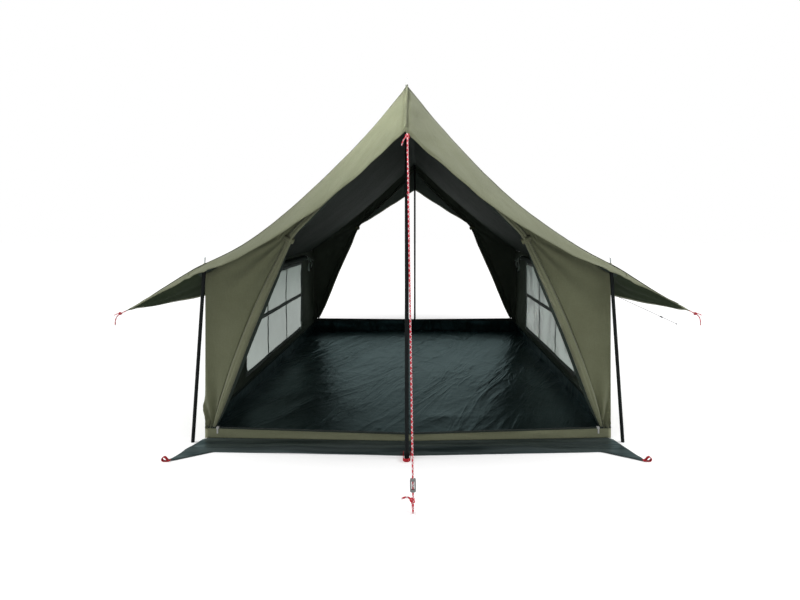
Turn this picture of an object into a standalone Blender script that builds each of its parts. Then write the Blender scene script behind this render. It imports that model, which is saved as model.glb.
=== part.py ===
"""A canvas wall tent with a door at each end, side awnings and corner poles.

Metres, +Z up. +Y runs from the front door to the rear door and +X to the right of
someone who looks in at the front. The origin is on the ground in the middle of the
floor. The front half is written with its Y made positive, and placed by a sign.
"""
import math

import bmesh
import bpy
from mathutils import Matrix, Vector

# Overall sizes
FLOOR_WIDTH = 2.50
FLOOR_DEPTH = 3.00
APEX_HEIGHT = 2.10
EAVE_HEIGHT = 1.00

# Cloth thicknesses, as stiff sheets, and the gaps between touching pieces
CANVAS = 0.003
NET = 0.0015
SHEETING = 0.003
WEBBING = 0.0025
TOUCH = 0.0003
SEAM_DROP = 0.0065
EAVE_SEAM_DROP = 0.0050
CORD_SEAT = 0.0010
CUT_OVERRUN = 0.02

# Roof: the ridge between the uprights, the slopes and the visors over the doors
UPRIGHT_REACH = 0.262
RIDGE_SAG = 0.05
FRONT_SLOPE_SAG = 0.09
REAR_SLOPE_SAG = 0.05
FRONT_HIP_SAG = 0.125
REAR_HIP_SAG = 0.050
VISOR_REACH = 0.298
VISOR_DROP = 0.315
FRONT_VISOR_SAG = 0.088
REAR_VISOR_SAG = 0.03
PEAK_INSET = 0.03
PEAK_AHEAD = 0.08
PEAK_RISE = 0.08
VISOR_EDGE_AHEAD = 0.07
VISOR_EDGE_DROP = 0.05
SEAM_OUT = 0.035
SEAM_GAP = 0.0006

# Side awnings, drawn out into a wing at each corner
AWNING_REACH = 0.13
AWNING_DROP = 0.17
WING_REACH = 0.50
WING_BACK = 0.06
WING_DROP = 0.29
WING_END_WIDTH = 0.026

# Poles
UPRIGHT_RADIUS = 0.0115
CORNER_POLE_RADIUS = 0.0105
POLE_WALL = 0.0012
SPIKE_RADIUS = 0.0035
SPIKE_RISE = 0.040
SPIKE_FIT = 0.0004
HEAD_DROP = 0.030
HEAD_TOP_DROP = 0.012
SPIGOT_LENGTH = 0.075
UPRIGHT_JOINT_HEIGHT = 1.05
FOOT_RADIUS = 0.0140
FOOT_LENGTH = 0.030
CORNER_FOOT_OUT = 0.05
CORNER_FOOT_AHEAD = 0.06

# Sills and door walls
SILL_OUT = 0.003
SILL_BOW = 0.047
SILL_END_RISE = 0.020
FRONT_SILL_HEIGHT = 0.050
REAR_SILL_HEIGHT = 0.140
GABLE_LEAN = 0.15
DOOR_FOOT_INSET = 0.050
DOOR_FOOT_RISE = 0.018
DOOR_TIE_HALF_GAP = 0.70
DOOR_TIE_DROP = 0.125
DOOR_TIE_WIDTH = 0.036
DOOR_TIE_INSET = 0.020
DOOR_FOLD_WIDTH = 0.088
DOOR_FOLD_DEPTH = 0.046
STRIP_DROP = 0.045
TIE_THICKNESS = 0.002
TIE_FIT = 0.0005

# Windows in the side walls, and the rolled curtains over them
WINDOW_FRONT = 0.705
WINDOW_REAR = 0.57
WINDOW_FOOT = 0.164
WINDOW_HEAD = 0.103
WINDOW_TAPE = 0.024
WINDOW_FRAME = 0.018
CURTAIN_RADIUS = 0.026
CURTAIN_RISE = 0.046
CURTAIN_OVERLAP = 0.10
CURTAIN_TIE_WIDTH = 0.025
CURTAIN_TIE_INSET = 0.050

# Groundsheet, a tray, and the aprons on the ground outside the doors
TRAY_SIDE_HEIGHT = 0.10
TRAY_RIM_DROP = 0.004
TRAY_CORNER_RUN = 0.05
TRAY_GAP = 0.0005
APRON_MIDDLE_DEPTH = 0.188
APRON_END_DEPTH = 0.185
FLARE_START_INSET = 0.13
FLARE_OUT = 0.065
FLARE_AHEAD = 0.30
FLARE_END_WIDTH = 0.022

# Peg loops of webbing
PEG_LOOP_LENGTH = 0.046
PEG_LOOP_HEIGHT = 0.028
PEG_LOOP_WIDTH = 0.018
FOOT_LOOP_WIDTH = 0.043
FOOT_LOOP_REACH = 0.074
FOOT_LOOP_HEIGHT = 0.018

# Zips along the sills
ZIP_REST_INSET = 0.080
ZIP_BODY_LENGTH = 0.0145
ZIP_BODY_DEPTH = 0.010
ZIP_BODY_RISE = 0.004
ZIP_BODY_SKIRT = 0.010
ZIP_SLOT_FIT = 0.0006
ZIP_PIN_RADIUS = 0.0012
ZIP_PIN_OUT = 0.0034
ZIP_PIN_DROP = 0.004
ZIP_EAR_THICKNESS = 0.0018
ZIP_EAR_RADIUS = 0.0026
PULL_LENGTH = 0.034
PULL_WIDTH = 0.0090
PULL_THICKNESS = 0.0020
PULL_EYE_FIT = 0.0004
PULL_EYE_WALL = 0.0010

# Guylines
GUYLINE_RADIUS = 0.0042
GUYLINE_ASIDE = 0.012
WING_CORD_RADIUS = 0.0032
REAR_GUYLINE_RADIUS = 0.0026
SLIDER_LENGTH = 0.057
SLIDER_WIDTH = 0.027
SLIDER_DEPTH = 0.014
SLIDER_CORNER = 0.006
SLIDER_BORE_FIT = 0.0005
SLIDER_BRIDGE = 0.011
SLIDER_WINDOW_SIDE = 0.007
SLIDER_HEIGHT = 0.130
TOGGLE_LENGTH = 0.040
TOGGLE_RADIUS = 0.009
TOGGLE_CORNER = 0.003
TOGGLE_BORE_FIT = 0.0005

# Numbers of faces, and shares of the sizes above, chosen by eye
SLOPE_STATION_COUNT = 12
AWNING_STATION_COUNT = 3
RIDGE_ROW_SHARES = (0.84, 0.60, 0.30, 0.0)
AWNING_ROW_SHARE = 0.94
WING_CURVE_POWER_COUNT = 4
POLE_STEP_COUNT = 12
DOOR_SECTION_COUNT = 14
DOOR_FOLD_COUNT = 5
DOOR_FOLD_DEPTH_SHARE = 0.22
DOOR_CORNER_END_SHARE = 0.60
DOOR_WIDTH_SHARES = ((0.0, 0.30), (0.06, 0.62), (0.14, 0.92), (0.30, 1.0), (0.60, 0.96),
                     (0.80, 0.86), (0.90, 0.66), (1.0, 0.60))
STRIP_WIDTH_SHARES = (0.60, 0.34)
PANEL_CORNER_SHARES = (0.0, 0.08, 0.18, 0.34, 0.54, 0.76, 1.0)
PANEL_COLUMN_SHARES = (0.0, 0.33, 0.67, 1.0)
PANEL_TIE_SHARES = (0.30, 0.60)
STRIP_END_SHARE = 0.35
WINDOW_BAR_SHARES = (0.32, 0.65)
WINDOW_RAIL_SHARE = 0.51
CURTAIN_RING_COUNT = 12
CURTAIN_RING_SHARES = (0.0, 0.02, 0.12, 0.24, 0.37, 0.50, 0.62, 0.74, 0.85, 0.955, 0.99, 1.0)
CURTAIN_RADIUS_SHARES = (0.80, 0.96, 0.90, 1.0, 0.93, 1.0, 0.91, 0.98, 0.94, 1.0, 1.0, 0.80)
LOOP_ARC_COUNT = 8
CORNER_ARC_COUNT = 3
REAR_TOGGLE_SHARE = 0.87

# Cord routes: the front guyline in metres, the wing's cord from the wing's tip
GUYLINE_FOOT = (0.0445, -2.2995, 0.072)
GUYLINE_HAIRPIN = (
    (0.0450, -2.3035, 0.048),
    (0.0450, -2.3050, 0.034),
    (0.0448, -2.3048, 0.023),
    (0.0444, -2.3010, 0.013),
    (0.0438, -2.2940, 0.0066),
    (0.0432, -2.2870, 0.0047),
    (0.0424, -2.2798, 0.0070),
    (0.0416, -2.2730, 0.0130),
    (0.0408, -2.2690, 0.0225),
    (0.0395, -2.2685, 0.0330),
    (0.0378, -2.2715, 0.0440),
    (0.0358, -2.2765, 0.0540),
    (0.0322, -2.2815, 0.0625),
    (0.0260, -2.2850, 0.0690),
    (0.0180, -2.2865, 0.0725),
    (0.0090, -2.2870, 0.0725),
    (0.0000, -2.2870, 0.0700),
    (-0.0090, -2.2870, 0.0665),
)
GUYLINE_STRAIGHT_COUNT = 50
WING_CORD_ROUTE = (
    (0.0012, -0.0003, -0.0006),
    (0.014, -0.003, -0.007),
    (0.026, -0.006, -0.013),
    (0.038, -0.008, -0.019),
    (0.049, -0.010, -0.027),
    (0.058, -0.011, -0.037),
    (0.063, -0.012, -0.049),
    (0.066, -0.013, -0.063),
    (0.067, -0.013, -0.077),
    (0.067, -0.013, -0.090),
)
REAR_GUYLINE_END = (3.430, 1.870, 0.017)
REAR_GUYLINE_COUNT = 60

HALF_WIDTH = FLOOR_WIDTH / 2
HALF_DEPTH = FLOOR_DEPTH / 2
HALF_CANVAS = CANVAS / 2
SEAM_X = HALF_WIDTH + SEAM_OUT
UPRIGHT_Y = HALF_DEPTH + UPRIGHT_REACH
PEAK_X = HALF_WIDTH - PEAK_INSET
PEAK_Y = HALF_DEPTH + PEAK_AHEAD
PEAK_Z = EAVE_HEIGHT + PEAK_RISE
WING_X = PEAK_X + WING_REACH
WING_Y = PEAK_Y - WING_BACK
WING_Z = PEAK_Z - WING_DROP
WALL_TOP = EAVE_HEIGHT - EAVE_SEAM_DROP
WINDOW_LOW = (WINDOW_FRONT - HALF_DEPTH, WINDOW_FOOT)
WINDOW_HIGH = (HALF_DEPTH - WINDOW_REAR, EAVE_HEIGHT - WINDOW_HEAD)
TIE_ROOM = TIE_FIT + TIE_THICKNESS + TOUCH
FRONT = -1
REAR = 1
LEFT = -1
RIGHT = 1
ENDS = {"front": FRONT, "rear": REAR}
SIDES = {"left": LEFT, "right": RIGHT}

OLIVE = (0.150, 0.150, 0.098)
DARK_OLIVE = (0.060, 0.064, 0.045)
NET_GREY = (0.42, 0.46, 0.44)
BLACK_SHEETING = (0.012, 0.018, 0.018)
BLACK_METAL = (0.010, 0.011, 0.012)
RED_WEBBING = (0.45, 0.012, 0.020)
RED_CORD = (0.62, 0.045, 0.060)
GREY_CORD = (0.30, 0.30, 0.30)
GREY_PLASTIC = (0.36, 0.37, 0.37)
BLACK_PLASTIC = (0.015, 0.015, 0.016)
PALE_METAL = (0.70, 0.70, 0.68)


def clear_scene():
    """Start from an empty file, and make the two collections."""
    for thing in list(bpy.data.objects):
        bpy.data.objects.remove(thing, do_unlink=True)
    collections = []
    for name in ("canvas_wall_tent", "cutters"):
        collection = bpy.data.collections.new(name)
        bpy.context.scene.collection.children.link(collection)
        collections.append(collection)
    return collections


TENT, CUTTERS = clear_scene()


def make_material(name, colour, roughness, metallic=0.0):
    """A Principled material with a colour, a roughness and a metallic value."""
    material = bpy.data.materials.new(name)
    material.use_nodes = True
    shader = material.node_tree.nodes["Principled BSDF"]
    shader.inputs["Base Color"].default_value = (*colour, 1.0)
    shader.inputs["Roughness"].default_value = roughness
    shader.inputs["Metallic"].default_value = metallic
    return material


CANVAS_MATERIAL = make_material("olive_canvas", OLIVE, 0.85)
SHADE_MATERIAL = make_material("dark_canvas", DARK_OLIVE, 0.9)
NET_MATERIAL = make_material("window_net", NET_GREY, 0.9)
SHEETING_MATERIAL = make_material("black_sheeting", BLACK_SHEETING, 0.35)
POLE_MATERIAL = make_material("black_steel", BLACK_METAL, 0.4, 0.6)
WEBBING_MATERIAL = make_material("red_webbing", RED_WEBBING, 0.8)
CORD_MATERIAL = make_material("red_cord", RED_CORD, 0.8)
GREY_CORD_MATERIAL = make_material("grey_cord", GREY_CORD, 0.8)
SLIDER_MATERIAL = make_material("grey_plastic", GREY_PLASTIC, 0.45)
TOGGLE_MATERIAL = make_material("black_plastic", BLACK_PLASTIC, 0.5)
ZIP_MATERIAL = make_material("pale_metal", PALE_METAL, 0.35, 0.9)


def add_part(name, mesh, material, collection=None):
    """Put a mesh in the tent's collection under its node's name."""
    part = bpy.data.objects.new(name, mesh)
    mesh.name = name
    if material is not None:
        mesh.materials.append(material)
    (collection or TENT).objects.link(part)
    return part


def mesh_from_bmesh(shape, name):
    """Turn outward the faces of a shape built in bmesh, and free it."""
    bmesh.ops.recalc_face_normals(shape, faces=shape.faces)
    mesh = bpy.data.meshes.new(name)
    shape.to_mesh(mesh)
    shape.free()
    return mesh


def sheet(name, rows, material):
    """An open cloth surface lofted through rows of points."""
    shape = bmesh.new()
    grid = [[shape.verts.new(point) for point in row] for row in rows]
    for lower, upper in zip(grid, grid[1:]):
        for index in range(len(lower) - 1):
            shape.faces.new((lower[index], lower[index + 1], upper[index + 1], upper[index]))
    return add_part(name, mesh_from_bmesh(shape, name), material)


def thicken(part, thickness, offset=0.0):
    """Give an open surface its thickness, half on each side unless offset says otherwise."""
    solidify = part.modifiers.new("thickness", "SOLIDIFY")
    solidify.thickness = thickness
    solidify.offset = offset
    solidify.use_even_offset = True
    return solidify


def lofted_solid(name, rings, material, closed=False):
    """A closed solid lofted through rings: with its ends filled, or closed into a band."""
    shape = bmesh.new()
    loops = [[shape.verts.new(point) for point in ring] for ring in rings]
    count = len(loops[0])
    following = loops[1:] + [loops[0]] if closed else loops[1:]
    for lower, upper in zip(loops, following):
        for index in range(count):
            after = (index + 1) % count
            shape.faces.new((lower[index], lower[after], upper[after], upper[index]))
    if not closed:
        shape.faces.new(loops[0])
        shape.faces.new(loops[-1])
    part = add_part(name, mesh_from_bmesh(shape, name), material)
    smooth(part)
    return part


def smooth(part):
    """Shade a round piece smooth and keep its hard edges."""
    part.data.shade_smooth()
    part.data.set_sharp_from_angle(angle=math.radians(40))


def flat_piece(name, outlines, thickness, material, collection=None):
    """A flat outline, with any holes, filled in its own XY plane and given a thickness."""
    curve = bpy.data.curves.new(name, "CURVE")
    curve.dimensions = "2D"
    curve.fill_mode = "BOTH"
    curve.extrude = thickness / 2
    for outline in outlines:
        spline = curve.splines.new("POLY")
        spline.points.add(len(outline) - 1)
        for point, place in zip(spline.points, outline):
            point.co = (*place, 0.0, 1.0)
        spline.use_cyclic_u = True
    return curve_to_part(name, curve, material, collection)


def curve_to_part(name, curve, material, collection=None):
    """Turn a curve into a closed mesh part, with its caps welded on."""
    source = bpy.data.objects.new(name + "_curve", curve)
    CUTTERS.objects.link(source)
    graph = bpy.context.evaluated_depsgraph_get()
    mesh = bpy.data.meshes.new_from_object(source.evaluated_get(graph))
    bpy.data.objects.remove(source, do_unlink=True)
    shape = bmesh.new()
    shape.from_mesh(mesh)
    bmesh.ops.remove_doubles(shape, verts=shape.verts, dist=TOUCH / 10)
    bpy.data.meshes.remove(mesh)
    return add_part(name, mesh_from_bmesh(shape, name), material, collection)


def tube(name, points, radius, material):
    """A round cord or wire along a list of points."""
    curve = bpy.data.curves.new(name, "CURVE")
    curve.dimensions = "3D"
    curve.bevel_depth = radius
    curve.bevel_resolution = 2
    curve.use_fill_caps = True
    spline = curve.splines.new("POLY")
    spline.points.add(len(points) - 1)
    for point, place in zip(spline.points, points):
        point.co = (*place, 1.0)
    part = curve_to_part(name, curve, material)
    smooth(part)
    return part


def turned(name, profile, material, foot, top, collection=None, steps=POLE_STEP_COUNT):
    """A turned piece: a closed profile of radius and height, standing from foot towards top."""
    shape = bmesh.new()
    verts = [shape.verts.new((radius, 0.0, height)) for radius, height in profile]
    for first, second in zip(verts, verts[1:]):
        shape.edges.new((first, second))
    if profile[0][0] > 0.0:
        shape.edges.new((verts[-1], verts[0]))
    mesh = bpy.data.meshes.new(name)
    shape.to_mesh(mesh)
    shape.free()
    part = add_part(name, mesh, material, collection)
    screw = part.modifiers.new("turn", "SCREW")
    screw.steps = steps
    screw.render_steps = steps
    screw.use_merge_vertices = True
    screw.merge_threshold = TOUCH / 10
    stand_along(part, foot, top)
    return part


def stand_along(part, foot, top):
    """Place a piece modelled along +Z with its base at foot, pointing at top."""
    direction = Vector(top) - Vector(foot)
    part.rotation_mode = "QUATERNION"
    part.rotation_quaternion = Vector((0.0, 0.0, 1.0)).rotation_difference(direction)
    part.location = foot


def block(name, low, high, material, collection=None):
    """A box from its lowest to its highest corner."""
    shape = bmesh.new()
    bmesh.ops.create_cube(shape, size=1.0)
    for vert in shape.verts:
        for axis in range(3):
            share = vert.co[axis] + 0.5
            vert.co[axis] = low[axis] + (high[axis] - low[axis]) * share
    return add_part(name, mesh_from_bmesh(shape, name), material, collection)


def round_bar(name, start, end, radius, material, collection=None, sides=POLE_STEP_COUNT):
    """A plain cylinder between two points."""
    length = (Vector(end) - Vector(start)).length
    shape = bmesh.new()
    bmesh.ops.create_cone(shape, cap_ends=True, segments=sides, radius1=radius,
                          radius2=radius, depth=length)
    bmesh.ops.translate(shape, verts=shape.verts, vec=(0.0, 0.0, length / 2))
    bar = add_part(name, mesh_from_bmesh(shape, name), material, collection)
    stand_along(bar, start, end)
    return bar


def combine(part, tool, operation):
    """Cut a part with a tool, or join the tool to it, and hide the tool."""
    boolean = part.modifiers.new(tool.name, "BOOLEAN")
    boolean.operation = operation
    boolean.solver = "EXACT"
    boolean.object = tool
    tool.hide_render = True
    tool.display_type = "WIRE"


def round_edges(part, width, segments=1):
    """A small bevel on a part's sharp edges."""
    bevel = part.modifiers.new("round_edges", "BEVEL")
    bevel.width = width
    bevel.segments = segments
    bevel.limit_method = "ANGLE"


def mix(first, second, share):
    """The value, or the point, at a share of the way from first to second."""
    if isinstance(first, (float, int)):
        return first + (second - first) * share
    return tuple(a + (b - a) * share for a, b in zip(first, second))


def hang(share):
    """How deep a hanging line sags at a share of its span: 1 in the middle, 0 at its ends."""
    return 4 * share * (1 - share)


# The roof's surface. Places are given by x from the middle, always positive, and an end.


def ridge_height(y):
    """The ridge hangs between the tops of the two uprights."""
    along = min(1.0, abs(y) / UPRIGHT_Y)
    return APEX_HEIGHT - RIDGE_SAG * (1 - along ** 2)


def awning_edge(y):
    """The awning's outer edge, drawn out into the wing near the corner."""
    along = min(1.0, abs(y) / WING_Y)
    return (mix(HALF_WIDTH + AWNING_REACH, WING_X, along ** WING_CURVE_POWER_COUNT),
            mix(EAVE_HEIGHT - AWNING_DROP, WING_Z, along ** 2))


def visor_edge(x, end):
    """The visor's free edge, from its tip over the door to the wing's tip."""
    tip = (UPRIGHT_Y + VISOR_REACH, APEX_HEIGHT - VISOR_DROP)
    corner = (PEAK_Y + VISOR_EDGE_AHEAD, PEAK_Z - VISOR_EDGE_DROP)
    if x <= PEAK_X:
        share = x / PEAK_X
        y, z = mix(tip, corner, share)
        return y, z - (FRONT_VISOR_SAG if end == FRONT else REAR_VISOR_SAG) * hang(share)
    share = (x - PEAK_X) / (WING_X - PEAK_X)
    return mix(corner, (WING_Y + WING_END_WIDTH / 2, WING_Z), share)


def hip_line(x, end):
    """The hip, from the top of the upright over the corner pole and on to the wing's tip."""
    if x <= PEAK_X:
        share = x / PEAK_X
        y, z = mix((UPRIGHT_Y, APEX_HEIGHT), (PEAK_Y, PEAK_Z), share)
        return y, z - (FRONT_HIP_SAG if end == FRONT else REAR_HIP_SAG) * hang(share)
    share = (x - PEAK_X) / (WING_X - PEAK_X)
    return mix((PEAK_Y, PEAK_Z), (WING_Y - WING_END_WIDTH / 2, WING_Z), share)


def slope_height(x, y):
    """The slope between the doors, and the start of the awning past the eave."""
    if x <= HALF_WIDTH:
        share = x / HALF_WIDTH
        sag = mix(FRONT_SLOPE_SAG, REAR_SLOPE_SAG, (y + HALF_DEPTH) / FLOOR_DEPTH)
        return mix(ridge_height(y), EAVE_HEIGHT, share) - sag * hang(share)
    outer_x, outer_z = awning_edge(y)
    return mix(EAVE_HEIGHT, outer_z, (x - HALF_WIDTH) / (outer_x - HALF_WIDTH))


def roof_height(x, y, end):
    """The height of the roof's middle surface at a distance y from the middle, up to the hip."""
    if y <= HALF_DEPTH:
        return slope_height(x, end * y)
    hip_y, hip_z = hip_line(x, end)
    share = (y - HALF_DEPTH) / (hip_y - HALF_DEPTH)
    return mix(slope_height(x, end * HALF_DEPTH), hip_z, min(1.0, share))


def roof_row(place, x):
    """The point at x on one of the roof's rows; a row is an end and a name, or a y."""
    if isinstance(place, float):
        return x, place, slope_height(x, place)
    end, line = place
    if line == "edge":
        y, z = visor_edge(x, end)
    elif line == "hip":
        y, z = hip_line(x, end)
    else:
        y, z = mix(visor_edge(x, end), hip_line(x, end), 0.5)
    return x, end * y, z


def roof_places():
    """The roof's rows from the front visor's edge to the rear visor's edge."""
    lines = ("edge", "visor", "hip")
    middle = [FRONT * HALF_DEPTH] + [FRONT * HALF_DEPTH * share for share in RIDGE_ROW_SHARES]
    middle += [REAR * HALF_DEPTH * share for share in RIDGE_ROW_SHARES[-2::-1]] + [REAR * HALF_DEPTH]
    return [(FRONT, line) for line in lines] + middle + [(REAR, line) for line in lines[::-1]]


def gable_y(x, z=0.0):
    """How far out a door wall stands: bowed at its sill, and leaning out to the upright."""
    towards_middle = 1 - abs(x) / HALF_WIDTH
    return HALF_DEPTH + SILL_OUT + (SILL_BOW + GABLE_LEAN * z / APEX_HEIGHT) * towards_middle


def gable_top(x, end):
    """The height of the top of a door wall, just under the roof."""
    height = EAVE_HEIGHT
    for _ in range(LOOP_ARC_COUNT):
        height = roof_height(x, gable_y(x, height), end)
    return height - SEAM_DROP


def sill_top(x, end):
    """The height of a sill's top edge, a little lower in the middle."""
    middle = FRONT_SILL_HEIGHT if end == FRONT else REAR_SILL_HEIGHT
    return middle + SILL_END_RISE * abs(x) / HALF_WIDTH


# Poles


def corner_pole_line(side, end):
    """The foot of a corner pole on the ground, and the peak of cloth over it."""
    foot = Vector((side * (HALF_WIDTH + CORNER_FOOT_OUT), end * (HALF_DEPTH + CORNER_FOOT_AHEAD), 0.0))
    peak = Vector((side * PEAK_X, end * PEAK_Y, PEAK_Z))
    lean = (peak - foot).normalized()
    foot.z = CORNER_POLE_RADIUS * math.hypot(lean.x, lean.y)
    return foot, peak


def pole_head(radius, peak):
    """A pole's closed head and its spike, as a profile up its outside."""
    shoulder = peak - HEAD_DROP
    return [
        (radius, shoulder),
        (radius - POLE_WALL, shoulder + POLE_WALL),
        (SPIKE_RADIUS + POLE_WALL, peak - HEAD_TOP_DROP),
        (SPIKE_RADIUS, peak - HEAD_TOP_DROP),
        (SPIKE_RADIUS, peak + SPIKE_RISE - SPIKE_RADIUS),
        (SPIKE_RADIUS / 3, peak + SPIKE_RISE),
        (0.0, peak + SPIKE_RISE),
    ]


def build_corner_pole(name, side, end):
    """A corner pole: one steel tube, open at its foot, with a spike through the cloth."""
    foot, peak = corner_pole_line(side, end)
    length = (peak - foot).length
    inner = CORNER_POLE_RADIUS - POLE_WALL
    roof_of_bore = length - HEAD_DROP - POLE_WALL
    profile = [(0.0, roof_of_bore), (inner, roof_of_bore), (inner, 0.0), (CORNER_POLE_RADIUS, 0.0)]
    profile += pole_head(CORNER_POLE_RADIUS, length)
    turned(name, profile[::-1], POLE_MATERIAL, foot, peak)


def build_upright(name, end):
    """An upright in two tubes: the upper one's spigot stands in the lower one."""
    base = Vector((0.0, end * UPRIGHT_Y, 0.0))
    peak = Vector((0.0, end * UPRIGHT_Y, APEX_HEIGHT))
    inner = UPRIGHT_RADIUS - POLE_WALL
    lower = [
        (0.0, FOOT_LENGTH),
        (inner, FOOT_LENGTH),
        (inner, UPRIGHT_JOINT_HEIGHT),
        (UPRIGHT_RADIUS, UPRIGHT_JOINT_HEIGHT),
        (UPRIGHT_RADIUS, FOOT_LENGTH),
        (FOOT_RADIUS, FOOT_LENGTH - POLE_WALL),
        (FOOT_RADIUS, POLE_WALL),
        (FOOT_RADIUS - POLE_WALL, 0.0),
        (0.0, 0.0),
    ]
    turned(name + "_lower", lower, POLE_MATERIAL, base, peak)

    spigot = inner - SPIKE_FIT
    bore = spigot - POLE_WALL
    start = UPRIGHT_JOINT_HEIGHT + TOUCH
    roof_of_bore = APEX_HEIGHT - HEAD_DROP - POLE_WALL
    upper = [
        (0.0, roof_of_bore),
        (bore, roof_of_bore),
        (bore, start - SPIGOT_LENGTH),
        (spigot, start - SPIGOT_LENGTH),
        (spigot, start),
        (UPRIGHT_RADIUS, start),
    ]
    upper += pole_head(UPRIGHT_RADIUS, APEX_HEIGHT)
    turned(name + "_upper", upper[::-1], POLE_MATERIAL, base, peak)


def spike_cutter(name, foot, peak):
    """A round cutter for the eyelet that a pole's spike passes through, turned to clear the ridge."""
    along = (peak - foot).normalized() * HEAD_DROP
    cutter = round_bar(name, peak - along, peak + along, SPIKE_RADIUS + SPIKE_FIT, None, CUTTERS)
    cutter.data.transform(Matrix.Rotation(math.pi / POLE_STEP_COUNT, 4, "Z"))
    return cutter


# Roof and awnings


def build_roof():
    """The roof: two slopes and two visors in one cloth, with an eyelet over each pole."""
    stations = [PEAK_X * index / SLOPE_STATION_COUNT for index in range(SLOPE_STATION_COUNT + 1)]
    stations += [HALF_WIDTH, SEAM_X]
    roof = sheet("roof_canopy", [[roof_row(place, x) for x in stations] for place in roof_places()],
                 CANVAS_MATERIAL)
    mirror = roof.modifiers.new("other_slope", "MIRROR")
    mirror.use_clip = True
    mirror.merge_threshold = TOUCH / 10
    thicken(roof, CANVAS)
    for end_name, end in ENDS.items():
        base = Vector((0.0, end * UPRIGHT_Y, 0.0))
        peak = Vector((0.0, end * UPRIGHT_Y, APEX_HEIGHT))
        combine(roof, spike_cutter(end_name + "_apex_eyelet", base, peak), "DIFFERENCE")
        for side_name, side in SIDES.items():
            name = f"{end_name}_{side_name}_eyelet"
            combine(roof, spike_cutter(name, *corner_pole_line(side, end)), "DIFFERENCE")


def awning_outer(place):
    """The point on the awning's outer edge, or across the wing's tip, at the end of a row."""
    if isinstance(place, float):
        y = place / HALF_DEPTH * (WING_Y - WING_END_WIDTH) * AWNING_ROW_SHARE
        x, z = awning_edge(y)
        return x, y, z
    end, line = place
    across = {"edge": 0.5, "visor": 0.0, "hip": -0.5}[line]
    return WING_X, end * (WING_Y + WING_END_WIDTH * across), WING_Z


def build_awning(name, side):
    """A side awning, from its seam below the eave out to the curved edge and the two wings."""
    rows = []
    for place in roof_places():
        inner = roof_row(place, SEAM_X + SEAM_GAP)
        outer = awning_outer(place)
        row = [mix(inner, outer, index / AWNING_STATION_COUNT)
               for index in range(AWNING_STATION_COUNT + 1)]
        rows.append([(side * x, y, z) for x, y, z in row])
    thicken(sheet(name, rows, CANVAS_MATERIAL), CANVAS)


# Side walls, with a net window and its rolled curtain

STAND_SIDEWAYS = Matrix(((0, 0, 1, 0), (1, 0, 0, 0), (0, 1, 0, 0), (0, 0, 0, 1)))
STAND_FACING = Matrix(((1, 0, 0, 0), (0, 0, -1, 0), (0, 1, 0, 0), (0, 0, 0, 1)))


def rectangle(low, high, inset=0.0):
    """The corners of a flat rectangle, drawn in by an inset."""
    left, bottom = low[0] + inset, low[1] + inset
    right, top = high[0] - inset, high[1] - inset
    return [(left, bottom), (right, bottom), (right, top), (left, top)]


def build_side_wall(name, side):
    """A side wall standing on the tray's rim, with its window cut out."""
    reach = HALF_DEPTH + SILL_OUT - HALF_CANVAS - TOUCH
    outline = rectangle((-reach, TRAY_SIDE_HEIGHT + TOUCH), (reach, WALL_TOP))
    wall = flat_piece(name, [outline, rectangle(WINDOW_LOW, WINDOW_HIGH)], CANVAS, CANVAS_MATERIAL)
    wall.data.transform(STAND_SIDEWAYS)
    wall.location.x = side * HALF_WIDTH


def build_window(name, side):
    """A window's net with the tapes that frame and cross it, set in the wall's cut-out."""
    low, high = (WINDOW_LOW[0] + TOUCH, WINDOW_LOW[1] + TOUCH), (WINDOW_HIGH[0] - TOUCH, WINDOW_HIGH[1] - TOUCH)
    bars = [mix(low[0], high[0], share) for share in WINDOW_BAR_SHARES]
    rail = mix(low[1], high[1], WINDOW_RAIL_SHARE)
    half_tape = WINDOW_TAPE / 2
    columns = [low[0] + WINDOW_FRAME, *[bar + step for bar in bars for step in (-half_tape, half_tape)],
               high[0] - WINDOW_FRAME]
    heights = [low[1] + WINDOW_FRAME, rail - half_tape, rail + half_tape, high[1] - WINDOW_FRAME]
    panes = []
    for left, right in zip(columns[::2], columns[1::2]):
        for bottom, top in zip(heights[::2], heights[1::2]):
            panes.append(rectangle((left, bottom), (right, top)))
    tapes = flat_piece(name, [rectangle(low, high), *panes], CANVAS, NET_MATERIAL)
    net = flat_piece(name + "_net", [rectangle(low, high, WINDOW_FRAME / 2)], NET, None, CUTTERS)
    for piece in (tapes, net):
        piece.data.transform(STAND_SIDEWAYS)
        piece.location.x = side * HALF_WIDTH
    combine(tapes, net, "UNION")


def curtain_axis(side):
    """The middle line of a rolled curtain: its height and its distance inside the wall."""
    x = side * (HALF_WIDTH - HALF_CANVAS - TIE_ROOM - CURTAIN_RADIUS)
    return x, WINDOW_HIGH[1] + CURTAIN_RISE


def ring_around(x, y, z, radius, count=CURTAIN_RING_COUNT):
    """A ring of points round a line that runs along Y, one of them at the wall's side."""
    return [(x + radius * math.cos(math.tau * index / count), y,
             z + radius * math.sin(math.tau * index / count)) for index in range(count)]


def build_curtain(name, side):
    """A window curtain rolled up inside, over its window."""
    x, z = curtain_axis(side)
    start, end = WINDOW_LOW[0] - CURTAIN_OVERLAP, WINDOW_HIGH[0] + CURTAIN_OVERLAP
    rings = [ring_around(x, mix(start, end, share), z, CURTAIN_RADIUS * size_share)
             for share, size_share in zip(CURTAIN_RING_SHARES, CURTAIN_RADIUS_SHARES)]
    lofted_solid(name, rings, CANVAS_MATERIAL)


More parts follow.
